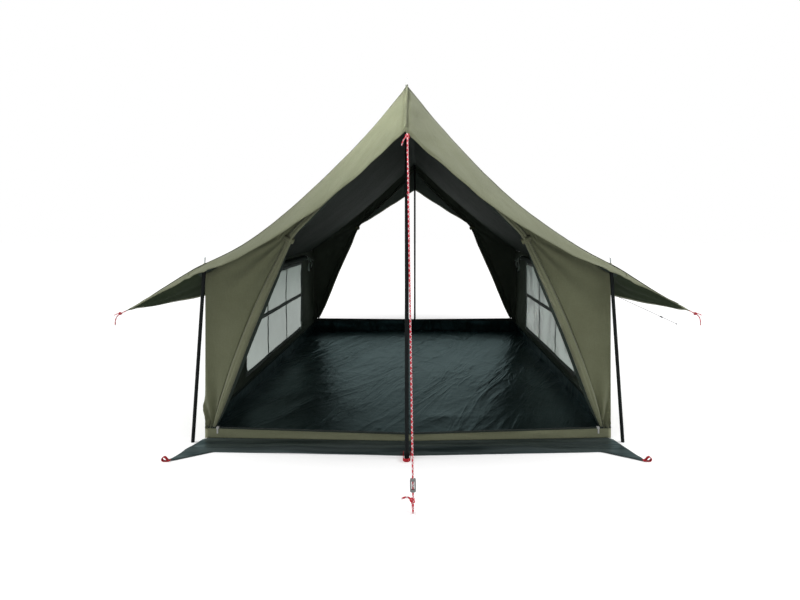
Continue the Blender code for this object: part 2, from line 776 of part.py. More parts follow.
def build_curtain_tie(name, side):
    """The tape that holds a rolled curtain, close to its rear end."""
    x, z = curtain_axis(side)
    middle = WINDOW_HIGH[0] + CURTAIN_OVERLAP - CURTAIN_TIE_INSET
    inner = CURTAIN_RADIUS + TIE_FIT
    outer = inner + TIE_THICKNESS
    start, end = middle - CURTAIN_TIE_WIDTH / 2, middle + CURTAIN_TIE_WIDTH / 2
    rings = [ring_around(x, y, z, radius)
             for y, radius in ((start, inner), (start, outer), (end, outer), (end, inner))]
    lofted_solid(name, rings, NET_MATERIAL, closed=True)


# Door walls: a flat panel at each corner, and the rest of the cloth drawn aside


def share_from(table, share):
    """A value read from a table of shares, between the two nearest lines."""
    for (before, first), (after, second) in zip(table, table[1:]):
        if share <= after:
            return mix(first, second, (share - before) / (after - before))
    return table[-1][1]


def door_path(end):
    """The middle line of a drawn door: stations of place, width, room beside it and kind."""
    foot_x = HALF_WIDTH - DOOR_FOOT_INSET
    foot = Vector((foot_x, sill_top(foot_x, end) + DOOR_FOOT_RISE))
    tie = Vector((DOOR_TIE_HALF_GAP, gable_top(DOOR_TIE_HALF_GAP, end) - DOOR_TIE_DROP))
    length = (tie - foot).length
    roof_stations = [PEAK_X * index / SLOPE_STATION_COUNT for index in range(1, SLOPE_STATION_COUNT + 1)]
    beside = [x for x in roof_stations if x > DOOR_TIE_HALF_GAP][::-1]
    above = [x for x in roof_stations if x <= DOOR_TIE_HALF_GAP][::-1]

    band_end = 1 - DOOR_TIE_INSET / length
    band_start = band_end - DOOR_TIE_WIDTH / length
    stations = []
    for share in PANEL_CORNER_SHARES:
        outer = Vector((HALF_WIDTH, mix(sill_top(HALF_WIDTH, end) + TOUCH, WALL_TOP, share)))
        stations.append([share * DOOR_CORNER_END_SHARE, TOUCH, outer])
    for index, x in enumerate(beside, 1):
        share = mix(DOOR_CORNER_END_SHARE, band_start, index / (len(beside) + 1))
        stations.append([share, TOUCH, Vector((x, gable_top(x, end)))])
    corner = Vector((beside[-1], gable_top(beside[-1], end)))
    after = Vector((above[0], gable_top(above[0], end)))
    for share, outer_share in zip((band_start, band_end), PANEL_TIE_SHARES):
        stations.append([share, TIE_ROOM, corner.lerp(after, outer_share)])
    path = [(foot.lerp(tie, share), DOOR_FOLD_WIDTH / 2 * share_from(DOOR_WIDTH_SHARES, share), room, outer)
            for share, room, outer in stations]
    band_half_width = DOOR_FOLD_WIDTH / 2 * DOOR_WIDTH_SHARES[-1][1]
    path[-2:] = [(place, band_half_width, room, outer) for place, _, room, outer in path[-2:]]
    for index, x in enumerate(above):
        top = gable_top(x, end)
        half_width = DOOR_FOLD_WIDTH / 2 * mix(*STRIP_WIDTH_SHARES, index / len(above))
        path.append((Vector((x, top - STRIP_DROP)), half_width, TOUCH, Vector((x, top))))
    return path


def path_normals(path):
    """At each station the direction across the drawn door, towards the corner and the roof."""
    normals = []
    for index in range(len(path)):
        before = path[max(index - 1, 0)][0]
        after = path[min(index + 1, len(path) - 1)][0]
        along = (after - before).normalized()
        normals.append(Vector((along.y, -along.x)))
    return normals


def door_ring(side, end, place, across, half_width, half_depth, fold_share):
    """A ring of points round a drawn door's middle line, folded like gathered cloth."""
    ring = []
    for index in range(DOOR_SECTION_COUNT):
        turn = math.tau * index / DOOR_SECTION_COUNT
        size = 1 - fold_share * (1 - math.cos(DOOR_FOLD_COUNT * turn)) / 2
        flat = place + across * half_width * size * math.cos(turn)
        y = gable_y(flat.x, flat.y) + half_depth * size * math.sin(turn)
        ring.append((side * flat.x, end * y, flat.y))
    return ring


def build_door(name, side, end):
    """Half a door's cloth, drawn aside and up to the roof, and the band that ties it."""
    path = door_path(end)
    normals = path_normals(path)
    depth_share = DOOR_FOLD_DEPTH / DOOR_FOLD_WIDTH
    rings = [door_ring(side, end, place, across, half_width, half_width * depth_share, DOOR_FOLD_DEPTH_SHARE)
             for (place, half_width, _, _), across in zip(path, normals)]
    lofted_solid(name, rings, CANVAS_MATERIAL)

    tied = [index for index, station in enumerate(path) if station[2] == TIE_ROOM]
    bands = []
    for grow in (TIE_FIT, TIE_FIT + TIE_THICKNESS):
        for index in tied:
            place, half_width = path[index][:2]
            bands.append(door_ring(side, end, place, normals[tied[0]], half_width + grow,
                                   half_width * depth_share + grow, 0.0))
    inner_start, inner_end, outer_start, outer_end = bands
    lofted_solid(name.replace("door", "door_tie"), [inner_start, outer_start, outer_end, inner_end],
                 CANVAS_MATERIAL, closed=True)


def build_panel(name, side, end):
    """The flat cloth between the drawn door and the corner, and up under the roof to the apex."""
    path = door_path(end)
    normals = path_normals(path)
    edges = []
    for (place, half_width, room, outer), across in zip(path, normals):
        edges.append((outer, place + across * (half_width + room)))
    foot_x = edges[0][1].x
    foot = Vector((foot_x, sill_top(foot_x, end) + TOUCH))
    edges.insert(0, (Vector((HALF_WIDTH, sill_top(HALF_WIDTH, end) + TOUCH)), foot))
    edges[1] = (edges[1][0] + Vector((0.0, DOOR_FOOT_RISE)), edges[1][1])
    last_x = edges[-1][0].x * STRIP_END_SHARE
    for x in (last_x, TOUCH):
        top = gable_top(x, end)
        edges.append((Vector((x, top)), Vector((x, top - STRIP_DROP))))
    rows = []
    for outer, inner in edges:
        row = []
        for share in PANEL_COLUMN_SHARES:
            flat = outer.lerp(inner, share)
            row.append((side * flat.x, end * gable_y(flat.x, flat.y), flat.y))
        rows.append(row)
    thicken(sheet(name, rows, CANVAS_MATERIAL), CANVAS)


# Sills, groundsheet and aprons


def build_sill(name, end):
    """The low strip that stands across a doorway, bowed outwards, with the zip on its top."""
    reach = HALF_WIDTH + HALF_CANVAS
    xs = (-reach, 0.0, reach)
    rows = [[(x, end * gable_y(x), 0.0) for x in xs],
            [(x, end * gable_y(x), sill_top(x, end)) for x in xs]]
    thicken(sheet(name, rows, CANVAS_MATERIAL), CANVAS)


def build_groundsheet():
    """The groundsheet: a floor with its rim turned up all round, lower across the doorways."""
    reach = HALF_WIDTH + HALF_CANVAS
    run = HALF_WIDTH - TRAY_CORNER_RUN
    rim_drop = ZIP_BODY_SKIRT + TRAY_RIM_DROP
    places = []
    for end, height in ((FRONT, FRONT_SILL_HEIGHT), (REAR, REAR_SILL_HEIGHT)):
        half = [(reach, TRAY_SIDE_HEIGHT), (HALF_WIDTH - CANVAS, TRAY_SIDE_HEIGHT),
                (run, height - rim_drop), (0.0, height - rim_drop)]
        line = half + [(-x, rim) for x, rim in half[-2::-1]]
        if end == FRONT:
            line = line[::-1]
        places += [(x, end * (gable_y(x) - HALF_CANVAS - TRAY_GAP), rim) for x, rim in line]
    shape = bmesh.new()
    floor = [shape.verts.new((x, y, 0.0)) for x, y, _ in places]
    rims = [shape.verts.new(place) for place in places]
    shape.faces.new(floor[::-1])
    for index in range(len(places)):
        after = (index + 1) % len(places)
        shape.faces.new((floor[index], floor[after], rims[after], rims[index]))
    mesh = bpy.data.meshes.new("groundsheet")
    shape.to_mesh(mesh)
    shape.free()
    tray = add_part("groundsheet", mesh, SHEETING_MATERIAL)
    thicken(tray, SHEETING, -1.0)


def apron_edge(x):
    """How far out an apron's outer edge lies."""
    share = abs(x) / HALF_WIDTH
    return gable_y(x) + HALF_CANVAS + mix(APRON_MIDDLE_DEPTH, APRON_END_DEPTH, share)


def flare_tip():
    """The middle of the narrow end of an apron's corner flare."""
    return HALF_WIDTH + FLARE_OUT, HALF_DEPTH + FLARE_AHEAD


def build_apron(name, end):
    """The apron on the ground before a doorway, drawn out to a peg loop at each corner."""
    reach = HALF_WIDTH + HALF_CANVAS
    tip_x, tip_y = flare_tip()
    start = HALF_WIDTH - FLARE_START_INSET
    half_end = FLARE_END_WIDTH / 2
    half = [
        (0.0, gable_y(0.0) + HALF_CANVAS + TOUCH),
        (reach, gable_y(reach) + HALF_CANVAS + TOUCH),
        (tip_x + half_end, tip_y),
        (tip_x - half_end, tip_y),
        (start, apron_edge(start)),
        (0.0, apron_edge(0.0)),
    ]
    outline = half + [(-x, y) for x, y in half[-2:0:-1]]
    apron = flat_piece(name, [[(x, end * y) for x, y in outline]], SHEETING, SHEETING_MATERIAL)
    apron.location.z = SHEETING / 2


# Loops of webbing


def arc(middle, radius, first, last, count=LOOP_ARC_COUNT):
    """Points along an arc, from a first to a last angle in degrees."""
    return [(middle[0] + radius * math.cos(math.radians(mix(first, last, index / count))),
             middle[1] + radius * math.sin(math.radians(mix(first, last, index / count))))
            for index in range(count + 1)]


def build_peg_loop(name, side, end):
    """A loop of webbing sewn to a flare: both ends together, and a round eye for the peg."""
    radius = PEG_LOOP_HEIGHT / 2
    middle = (PEG_LOOP_LENGTH - radius, radius)
    slope = (PEG_LOOP_HEIGHT - WEBBING * 2) / middle[0]
    mouth = WEBBING * 3
    roof = WEBBING * 2 + slope * mouth - WEBBING * math.hypot(1.0, slope)
    outer = [(0.0, 0.0), *arc(middle, radius, -90.0, 90.0), (0.0, WEBBING * 2)]
    hole = [(mouth, WEBBING), *arc(middle, radius - WEBBING, -90.0, 90.0), (mouth, roof)]
    loop = flat_piece(name, [outer, hole], PEG_LOOP_WIDTH, WEBBING_MATERIAL)
    loop.data.transform(STAND_FACING)
    if side == LEFT:
        loop.data.transform(Matrix.Rotation(math.pi, 4, "Z"))
    tip_x, tip_y = flare_tip()
    loop.location = (side * (tip_x + FLARE_END_WIDTH / 2 + TOUCH), end * (tip_y - PEG_LOOP_WIDTH / 2), 0.0)


def build_foot_loop(name, end):
    """A loop of webbing on the apron's edge, round the foot of the upright."""
    half = FOOT_LOOP_WIDTH / 2
    inner = half - WEBBING
    start = apron_edge(inner) + TOUCH
    middle = (0.0, start + FOOT_LOOP_REACH - half)
    outer = [(half, start), *arc(middle, half, 0.0, 180.0), (-half, start)]
    hole = [(-inner, start), *arc(middle, inner, 180.0, 0.0), (inner, start)]
    outline = [(x, end * y) for x, y in outer + hole]
    loop = flat_piece(name, [outline], FOOT_LOOP_HEIGHT, WEBBING_MATERIAL)
    loop.location.z = FOOT_LOOP_HEIGHT / 2


# Zips along the sills


def sill_frame(side, end):
    """Where a zip slider rests on a sill's top edge, and the three directions there."""
    corner = Vector((side * HALF_WIDTH, end * gable_y(HALF_WIDTH), sill_top(HALF_WIDTH, end)))
    centre = Vector((0.0, end * gable_y(0.0), sill_top(0.0, end)))
    along = (centre - corner).normalized() * (-side * end)
    outwards = Vector((0.0, 0.0, 1.0)).cross(along).normalized()
    upwards = along.cross(outwards)
    rest = corner.lerp(centre, ZIP_REST_INSET / HALF_WIDTH)
    frame = Matrix((along, outwards, upwards)).transposed().to_4x4()
    frame.translation = rest
    return frame


def build_zip(name, pull_name, side, end):
    """A zip slider that straddles a sill's top edge, with a pull tab hanging from its pin."""
    frame = sill_frame(side, end)
    half_length = ZIP_BODY_LENGTH / 2
    half_depth = ZIP_BODY_DEPTH / 2
    slot = HALF_CANVAS + ZIP_SLOT_FIT
    profile = [(-half_depth, -ZIP_BODY_SKIRT), (-slot, -ZIP_BODY_SKIRT), (-slot, TOUCH), (slot, TOUCH),
               (slot, -ZIP_BODY_SKIRT), (half_depth, -ZIP_BODY_SKIRT), (half_depth, ZIP_BODY_RISE),
               (-half_depth, ZIP_BODY_RISE)]
    slider = flat_piece(name, [profile], ZIP_BODY_LENGTH, ZIP_MATERIAL)
    pin_y = half_depth + ZIP_PIN_OUT
    ear_middle = half_length - ZIP_EAR_THICKNESS / 2
    tools = []
    for place, label in ((-ear_middle, "_ear_a"), (ear_middle, "_ear_b")):
        ear_outline = [(half_depth - ZIP_PIN_RADIUS, -ZIP_PIN_DROP - ZIP_EAR_RADIUS),
                       *arc((pin_y, -ZIP_PIN_DROP), ZIP_EAR_RADIUS, -90.0, 90.0),
                       (half_depth - ZIP_PIN_RADIUS, -ZIP_PIN_DROP + ZIP_EAR_RADIUS)]
        ear = flat_piece(name + label, [ear_outline], ZIP_EAR_THICKNESS, None, CUTTERS)
        ear.data.transform(Matrix.Translation((0.0, 0.0, place)))
        tools.append(ear)
    for piece in (slider, *tools):
        piece.data.transform(Matrix(((0, 0, 1, 0), (1, 0, 0, 0), (0, 1, 0, 0), (0, 0, 0, 1))))
        piece.matrix_world = frame
    pin = round_bar(name + "_pin", (-ear_middle, 0.0, 0.0), (ear_middle, 0.0, 0.0), ZIP_PIN_RADIUS, None, CUTTERS)
    pin.matrix_world = frame @ Matrix.Translation((0.0, pin_y, -ZIP_PIN_DROP)) @ pin.matrix_basis
    for tool in (*tools, pin):
        combine(slider, tool, "UNION")
    build_pull(pull_name, frame @ Matrix.Translation((0.0, pin_y, -ZIP_PIN_DROP)))


def build_pull(name, frame):
    """A pull tab: a rounded plate below an eye that turns on the slider's pin."""
    bore = ZIP_PIN_RADIUS + PULL_EYE_FIT
    eye = bore + PULL_EYE_WALL
    half_width = PULL_WIDTH / 2
    width = ZIP_BODY_LENGTH - ZIP_EAR_THICKNESS * 2 - TOUCH * 2
    reach = PULL_LENGTH - half_width
    plate = flat_piece(name, [[(-width / 2, -bore - PULL_EYE_WALL / 2), (-half_width, -PULL_WIDTH),
                               *arc((0.0, -reach), half_width, 180.0, 360.0),
                               (half_width, -PULL_WIDTH), (width / 2, -bore - PULL_EYE_WALL / 2)]],
                       PULL_THICKNESS, ZIP_MATERIAL)
    plate.data.transform(STAND_FACING)
    barrel = round_bar(name + "_eye", (-width / 2, 0.0, 0.0), (width / 2, 0.0, 0.0), eye, None, CUTTERS)
    hole = round_bar(name + "_bore", (-width, 0.0, 0.0), (width, 0.0, 0.0), bore, None, CUTTERS)
    plate.matrix_world = frame
    for tool, operation in ((barrel, "UNION"), (hole, "DIFFERENCE")):
        tool.matrix_world = frame @ tool.matrix_basis
        combine(plate, tool, operation)


# Guylines


def visor_knot(end):
    """Where a guyline is tied on: just past the visor's edge, a little to the right of its tip."""
    tip = Vector((0.0, end * (UPRIGHT_Y + VISOR_REACH), APEX_HEIGHT - VISOR_DROP))
    apex = Vector((0.0, end * UPRIGHT_Y, APEX_HEIGHT))
    edge_y, edge_z = visor_edge(GUYLINE_ASIDE, end)
    edge = Vector((GUYLINE_ASIDE, end * edge_y, edge_z))
    return edge + (tip - apex).normalized() * (GUYLINE_RADIUS - CORD_SEAT)


def straight_points(start, end, count):
    """Evenly spaced points between two places, with both ends."""
    return [tuple(start.lerp(end, index / count)) for index in range(count + 1)]


def build_front_guyline():
    """The taut front guyline: down to the peg's place, round in a loop and back to its knot."""
    top = visor_knot(FRONT)
    foot = Vector(GUYLINE_FOOT)
    tube("guyline_front", straight_points(top, foot, GUYLINE_STRAIGHT_COUNT) + list(GUYLINE_HAIRPIN),
         GUYLINE_RADIUS, CORD_MATERIAL)

    upwards = (top - foot).normalized()
    facing = (Vector((0.0, -1.0, 0.0)) - upwards * -upwards.y).normalized()
    across = facing.cross(upwards)
    frame = Matrix((across, facing, upwards)).transposed().to_4x4()
    frame.translation = foot + upwards * ((SLIDER_HEIGHT - foot.z) / upwards.z)
    half_width = SLIDER_WIDTH / 2
    half_length = SLIDER_LENGTH / 2
    outline = []
    for x, y, first in ((1, -1, -90.0), (1, 1, 0.0), (-1, 1, 90.0), (-1, -1, 180.0)):
        middle = (x * (half_width - SLIDER_CORNER), y * (half_length - SLIDER_CORNER))
        outline += arc(middle, SLIDER_CORNER, first, first + 90.0, CORNER_ARC_COUNT)
    window = rectangle((-half_width, -half_length), (half_width, half_length))
    window = [(math.copysign(half_width - SLIDER_WINDOW_SIDE, x), math.copysign(half_length - SLIDER_BRIDGE, y))
              for x, y in window]
    slider = flat_piece("guyline_slider", [outline, window], SLIDER_DEPTH, SLIDER_MATERIAL)
    slider.data.transform(Matrix(((-1, 0, 0, 0), (0, 0, 1, 0), (0, 1, 0, 0), (0, 0, 0, 1))))
    slider.matrix_world = frame
    bore = round_bar("guyline_slider_bore", (0.0, 0.0, -SLIDER_LENGTH), (0.0, 0.0, SLIDER_LENGTH),
                     GUYLINE_RADIUS + SLIDER_BORE_FIT, None, CUTTERS)
    bore.matrix_world = frame @ bore.matrix_basis
    combine(slider, bore, "DIFFERENCE")


def build_wing_cord(name, side):
    """The short cord that hangs from a front wing's tip."""
    points = [(side * (WING_X + x), FRONT * (WING_Y - y), WING_Z + z) for x, y, z in WING_CORD_ROUTE]
    tube(name, points, WING_CORD_RADIUS, CORD_MATERIAL)


def build_rear_guyline():
    """The thin taut cord from the right rear wing down to the ground, and its toggle."""
    wing = Vector((WING_X, WING_Y, WING_Z))
    ground = Vector(REAR_GUYLINE_END)
    along = (ground - wing).normalized()
    start = wing + along * CORD_SEAT
    tube("guyline_rear_right", straight_points(start, ground, REAR_GUYLINE_COUNT),
         REAR_GUYLINE_RADIUS, GREY_CORD_MATERIAL)
    bore = REAR_GUYLINE_RADIUS + TOGGLE_BORE_FIT
    profile = [(bore, 0.0), (bore, TOGGLE_LENGTH), (TOGGLE_RADIUS - TOGGLE_CORNER, TOGGLE_LENGTH),
               (TOGGLE_RADIUS, TOGGLE_LENGTH - TOGGLE_CORNER), (TOGGLE_RADIUS, TOGGLE_CORNER),
               (TOGGLE_RADIUS - TOGGLE_CORNER, 0.0)]
    middle = wing.lerp(ground, REAR_TOGGLE_SHARE)
    turned("guyline_toggle", profile, TOGGLE_MATERIAL, middle - along * TOGGLE_LENGTH / 2,
           middle + along * TOGGLE_LENGTH / 2)


def build_tent():
    """Every piece of the tent."""
    build_roof()
    build_groundsheet()
    for side_name, side in SIDES.items():
        build_awning("side_awning_" + side_name, side)
        build_side_wall("side_wall_" + side_name, side)
        build_window("window_" + side_name, side)
        build_curtain("window_curtain_" + side_name, side)
        build_curtain_tie("curtain_tie_" + side_name, side)
        build_wing_cord("wing_cord_" + side_name, side)
    for end_name, end in ENDS.items():
        build_sill(end_name + "_sill", end)
        build_apron(end_name + "_apron", end)
        build_upright(end_name + "_pole", end)
        build_foot_loop(end_name + "_foot_loop", end)
        for side_name, side in SIDES.items():
            corner = f"{end_name}_{{}}_{side_name}"
            build_panel(corner.format("panel"), side, end)
            build_door(corner.format("door"), side, end)
            build_corner_pole(corner.format("corner_pole"), side, end)
            build_peg_loop(corner.format("peg_loop"), side, end)
            build_zip(corner.format("zip_slider"), corner.format("zip_pull"), side, end)
    build_front_guyline()
    build_rear_guyline()


build_tent()
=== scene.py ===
import math
import bpy
import bmesh
import numpy as np
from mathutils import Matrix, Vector, noise
from mathutils.bvhtree import BVHTree


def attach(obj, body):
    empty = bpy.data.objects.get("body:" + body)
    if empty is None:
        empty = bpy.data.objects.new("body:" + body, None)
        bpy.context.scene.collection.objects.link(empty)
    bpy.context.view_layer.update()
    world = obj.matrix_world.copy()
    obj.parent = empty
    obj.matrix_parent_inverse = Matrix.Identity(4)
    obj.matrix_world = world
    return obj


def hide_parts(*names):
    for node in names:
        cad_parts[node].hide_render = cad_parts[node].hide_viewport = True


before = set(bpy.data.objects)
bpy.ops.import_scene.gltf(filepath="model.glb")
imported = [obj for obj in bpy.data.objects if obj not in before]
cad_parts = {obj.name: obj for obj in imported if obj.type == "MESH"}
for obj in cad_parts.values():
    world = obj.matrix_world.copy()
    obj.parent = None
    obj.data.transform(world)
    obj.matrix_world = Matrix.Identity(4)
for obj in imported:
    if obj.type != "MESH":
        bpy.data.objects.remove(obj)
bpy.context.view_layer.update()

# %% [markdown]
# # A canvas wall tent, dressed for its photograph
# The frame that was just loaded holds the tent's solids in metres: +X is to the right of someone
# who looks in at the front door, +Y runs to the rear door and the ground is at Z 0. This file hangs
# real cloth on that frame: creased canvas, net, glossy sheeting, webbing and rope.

HALF_WIDTH, HALF_DEPTH = 1.25, 1.50
APEX, EAVE = 2.10, 1.00
UPRIGHT_Y = HALF_DEPTH + 0.262
PEAK = (HALF_WIDTH - 0.03, HALF_DEPTH + 0.08, EAVE + 0.08)
WING = (PEAK[0] + 0.50, PEAK[1] - 0.06, PEAK[2] - 0.29)
VISOR_TIP, VISOR_CORNER = (UPRIGHT_Y + 0.298, APEX - 0.315), (PEAK[1] + 0.07, PEAK[2] - 0.05)
SEAM_X = HALF_WIDTH + 0.035
SAGS = {-1: {"slope": 0.09, "hip": 0.125, "visor": 0.088},
        1: {"slope": 0.05, "hip": 0.050, "visor": 0.030}}
ENDS, SIDES = ((-1, "front"), (1, "rear")), ((-1, "left"), (1, "right"))
print("nodes in the frame:", len(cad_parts))

# %% [markdown]
# ## Camera
# A photograph taken at eye level with a wide lens shows both side walls of the tent at once. The
# camera stands 4.5 m before the tent's middle and looks level; a small shift puts the horizon where
# the photograph has it, so nothing has to tilt.

# %% Camera at the photograph's place
PICTURE_WIDTH, FOCAL_LENGTH, SHIFT = 800, 486, (-21, -75)
camera_data = bpy.data.cameras.new("photo_camera")
camera = bpy.data.objects.new("photo_camera", camera_data)
bpy.context.scene.collection.objects.link(camera)
camera.location = (0.08, -4.50, 1.3125)
camera.rotation_euler = (math.radians(90), 0, 0)
camera_data.sensor_width = 36.0
camera_data.lens = camera_data.sensor_width * FOCAL_LENGTH / PICTURE_WIDTH
camera_data.shift_x, camera_data.shift_y = (pixels / PICTURE_WIDTH for pixels in SHIFT)
bpy.context.scene.camera = camera
print("lens", round(camera_data.lens, 2), "mm")

# %% [markdown]
# ## Values between nodes
# A finish is a small web of nodes. Written node by node it would fill pages, so a value that runs
# between nodes is given the usual signs of arithmetic: each sign adds the node that works it out.

# %% A value in a web of nodes
class Wire:
    """A value between nodes, that can be added to, multiplied and split into its axes."""
    def __init__(self, web, socket):
        self.web, self.socket = web, socket

    def math(self, kind, other=0.0):
        """One step of arithmetic."""
        node = self.web.tree.nodes.new("ShaderNodeMath")
        node.operation = kind
        feed(self, node.inputs[0])
        feed(other, node.inputs[1])
        return Wire(self.web, node.outputs[0])

    def __add__(self, other):
        return self.math("ADD", other)

    def __sub__(self, other):
        return self.math("SUBTRACT", other)

    def __mul__(self, other):
        return self.math("MULTIPLY", other)

    def axis(self, index):
        """One axis of a set of coordinates, counted from 0."""
        return self.web.node("ShaderNodeSeparateXYZ", index, Vector=self)

    def stretched(self, low, high):
        """The value so stretched that low becomes 0 and high becomes 1."""
        return self.web.node("ShaderNodeMapRange", "Result", Value=self, From_Min=low, From_Max=high)

def feed(value, socket):
    """Join a wire to a socket, or set the socket to a number or a colour."""
    if isinstance(value, Wire):
        value.web.tree.links.new(value.socket, socket)
    else:
        socket.default_value = (*value, 1.0) if socket.type == "RGBA" else value

print("wires between nodes are ready")

# %% [markdown]
# ## Node helpers
# These helpers add the nodes that nearly every finish needs: coordinates in metres, cloudy noise,
# colours along a value, and bump. Constant gloss values stay on the shader's own sockets.

# %% Webs of nodes and finishes
class Web:
    """A tree of nodes."""
    def __init__(self, tree):
        self.tree = tree

    def node(self, kind, out, **values):
        """Add a node and return an output. Names of inputs feed them, other names are settings."""
        node = self.tree.nodes.new(kind)
        for key, value in values.items():
            if key.replace("_", " ") in node.inputs:
                feed(value, node.inputs[key.replace("_", " ")])
            else:
                setattr(node, key, value)
        return Wire(self, node.outputs[out])

    def place(self, scale=(1, 1, 1), source="Object"):
        """Coordinates on the piece in metres, stretched by scale."""
        where = self.node("ShaderNodeTexCoord", source)
        return self.node("ShaderNodeMapping", "Vector", Vector=where, Scale=scale)

    def blotches(self, where, scale, detail=4.0, rough=0.55, distortion=0.0):
        """Cloudy noise between 0 and 1."""
        return self.node("ShaderNodeTexNoise", "Fac", Vector=where, Scale=scale, Detail=detail,
                         Roughness=rough, Distortion=distortion)

    def ramp(self, value, *stops):
        """Colours along a value: each stop is a place and a colour."""
        node = self.tree.nodes.new("ShaderNodeValToRGB")
        for element, (place, colour) in zip(node.color_ramp.elements, stops):
            element.position, element.color = place, (*colour, 1.0)
        feed(value, node.inputs["Fac"])
        return Wire(self, node.outputs["Color"])

    def blend(self, share, first, second, kind="MIX"):
        """Mix two colours by a share, or multiply them."""
        node = self.tree.nodes.new("ShaderNodeMix")
        node.data_type, node.blend_type = "RGBA", kind
        for index, value in ((0, share), (6, first), (7, second)):
            feed(value, node.inputs[index])
        return Wire(self, node.outputs[2])

class Finish(Web):
    """A material with its Principled shader, new or copied from another material."""
    def __init__(self, name, roughness=0.85, metallic=0.0, specular=0.5, base=None):
        self.material = base.copy() if base else bpy.data.materials.new(name)
        self.material.name, self.material.use_nodes = name, True
        super().__init__(self.material.node_tree)
        self.shader = next(n for n in self.tree.nodes if n.type == "BSDF_PRINCIPLED")
        if base is None:
            self.set(Roughness=roughness, Metallic=metallic, Specular_IOR_Level=specular)

    def set(self, **values):
        """Feed the shader's sockets."""
        for key, value in values.items():
            feed(value, self.shader.inputs[key.replace("_", " ")])

    def now(self, name):
        """What feeds a socket of the shader now."""
        return Wire(self, self.shader.inputs[name].links[0].from_socket)

    def bump(self, height, strength, distance):
        """Bump from a height value, on top of the bump that is there."""
        below = {"Normal": self.now("Normal")} if self.shader.inputs["Normal"].links else {}
        self.set(Normal=self.node("ShaderNodeBump", "Normal", Strength=strength, Distance=distance,
                                  Height=height, **below))

def tinted(name, roughness, where_scale, scale, detail, deep, pale, rough=0.55, low=0.3, high=0.7,
           **settings):
    """A finish whose colour drifts between two shades."""
    finish = Finish(name, roughness, **settings)
    tint = finish.blotches(finish.place(where_scale), scale, detail, rough)
    finish.set(Base_Color=finish.ramp(tint, (low, deep), (high, pale)))
    return finish

print("helpers for finishes are ready")

# %% [markdown]
# ## Canvas
# The tent's cloth is a cotton and polyester canvas: a plain weave about a millimetre across, faintly
# mottled where the dye took unevenly, and creased from its bag. The outside is sage olive; the inside
# has a dark green coating without the bloom. One recipe makes them all, and the tapes too.

# %% Canvas finishes
THREAD_FREQUENCY = 3800.0

def canvas_finish(name, deep, pale, roughness, weave=0.18, crease=0.5, coated=False, visor_shade=None):
    """Woven canvas: mottled colour, a fine weave and soft creases in its bump. Where a shade colour
    is given, the cloth high up under the visor darkens to it: painted shade of the visor."""
    finish = Finish(name, roughness, specular=0.03 if coated else 0.10)
    where = finish.place()
    colour = finish.ramp(finish.blotches(where, 2.4, 6.0, 0.62), (0.32, deep), (0.72, pale))
    slub, slub_up = (finish.blotches(finish.place(stretch), 3.0, 3.0, 0.5) * 0.5
                     for stretch in ((9, 160, 160), (160, 9, 9)))
    threads = slub + slub_up
    shade = finish.ramp(threads, (0.36, (0.86, 0.86, 0.86)), (0.64, (1.0, 1.0, 1.0)))
    finish.set(Base_Color=finish.blend(1.0, colour, shade, "MULTIPLY"),
               Sheen_Weight=0.0 if coated else 0.20, Sheen_Roughness=0.5)
    creases = finish.blotches(finish.place((1.0, 1.0, 0.6)), 7.0, 7.0, 0.58, 0.7)
    finish.bump(creases, crease, 0.012)
    warp, weft = ((where.axis(axis) * THREAD_FREQUENCY).math("SINE") for axis in (0, 2))
    finish.bump(warp * weft * 0.4 + threads, weave, 0.0012)
    if coated:
        finish.set(Specular_Tint=(0.70, 1.0, 0.85))
    # Painted shade: cloth high up, under the visor, is blended towards the given dark colour.
    if visor_shade:
        height = finish.place().axis(2).stretched(1.30, 1.46)
        finish.set(Base_Color=finish.blend(height, finish.now("Base Color"), visor_shade))
    return finish.material

CANVAS_OUT = canvas_finish("olive_canvas", (0.146, 0.156, 0.091), (0.184, 0.197, 0.119), 0.85)
# Painted light and shade: the drawn doors' canvas is a lighter copy of the olive canvas, for the light
# the rolls catch, and it darkens high up to a painted shade under the visor.
LIT_AND_SHADED_DOOR_CANVAS = canvas_finish("door_canvas_painted_light_and_shade", (0.178, 0.188, 0.116), (0.232, 0.245, 0.152), 0.85,
                            visor_shade=(0.080, 0.084, 0.062))
# Painted light: the sills' canvas is a lighter copy of the olive canvas, for the light the sills catch
# from above.
LIT_SILL_CANVAS = canvas_finish("sill_canvas_painted_light", (0.275, 0.287, 0.178), (0.330, 0.343, 0.217), 0.85)
# Painted shade: the awnings' underside is the olive canvas painted dark and dull, for the shade under
# the awnings.
SHADED_AWNING_UNDER = canvas_finish("awning_underside_painted_shade", (0.026, 0.036, 0.021), (0.038, 0.051, 0.030), 0.85,
                             coated=True)
CANVAS_IN = canvas_finish("coated_dark_canvas", (0.036, 0.048, 0.040), (0.052, 0.066, 0.056), 0.75,
                          crease=0.6, coated=True)
# Painted light: the walls' lining is a lighter copy of the dark coating, for light that falls inside the
# tent.
LIT_WALL_IN = canvas_finish("dark_wall_lining_painted_light", (0.066, 0.082, 0.062), (0.094, 0.114, 0.088), 0.75,
                        crease=0.6, coated=True)
TAPE = canvas_finish("dark_tape", (0.085, 0.112, 0.096), (0.125, 0.160, 0.138), 0.8, 0.4, 0.1)
TIE_TAPE = canvas_finish("grey_green_tape", (0.42, 0.49, 0.45), (0.54, 0.62, 0.57), 0.8, 0.4, 0.1)
print("canvas finishes:", CANVAS_OUT.name, CANVAS_IN.name, TAPE.name, TIE_TAPE.name)
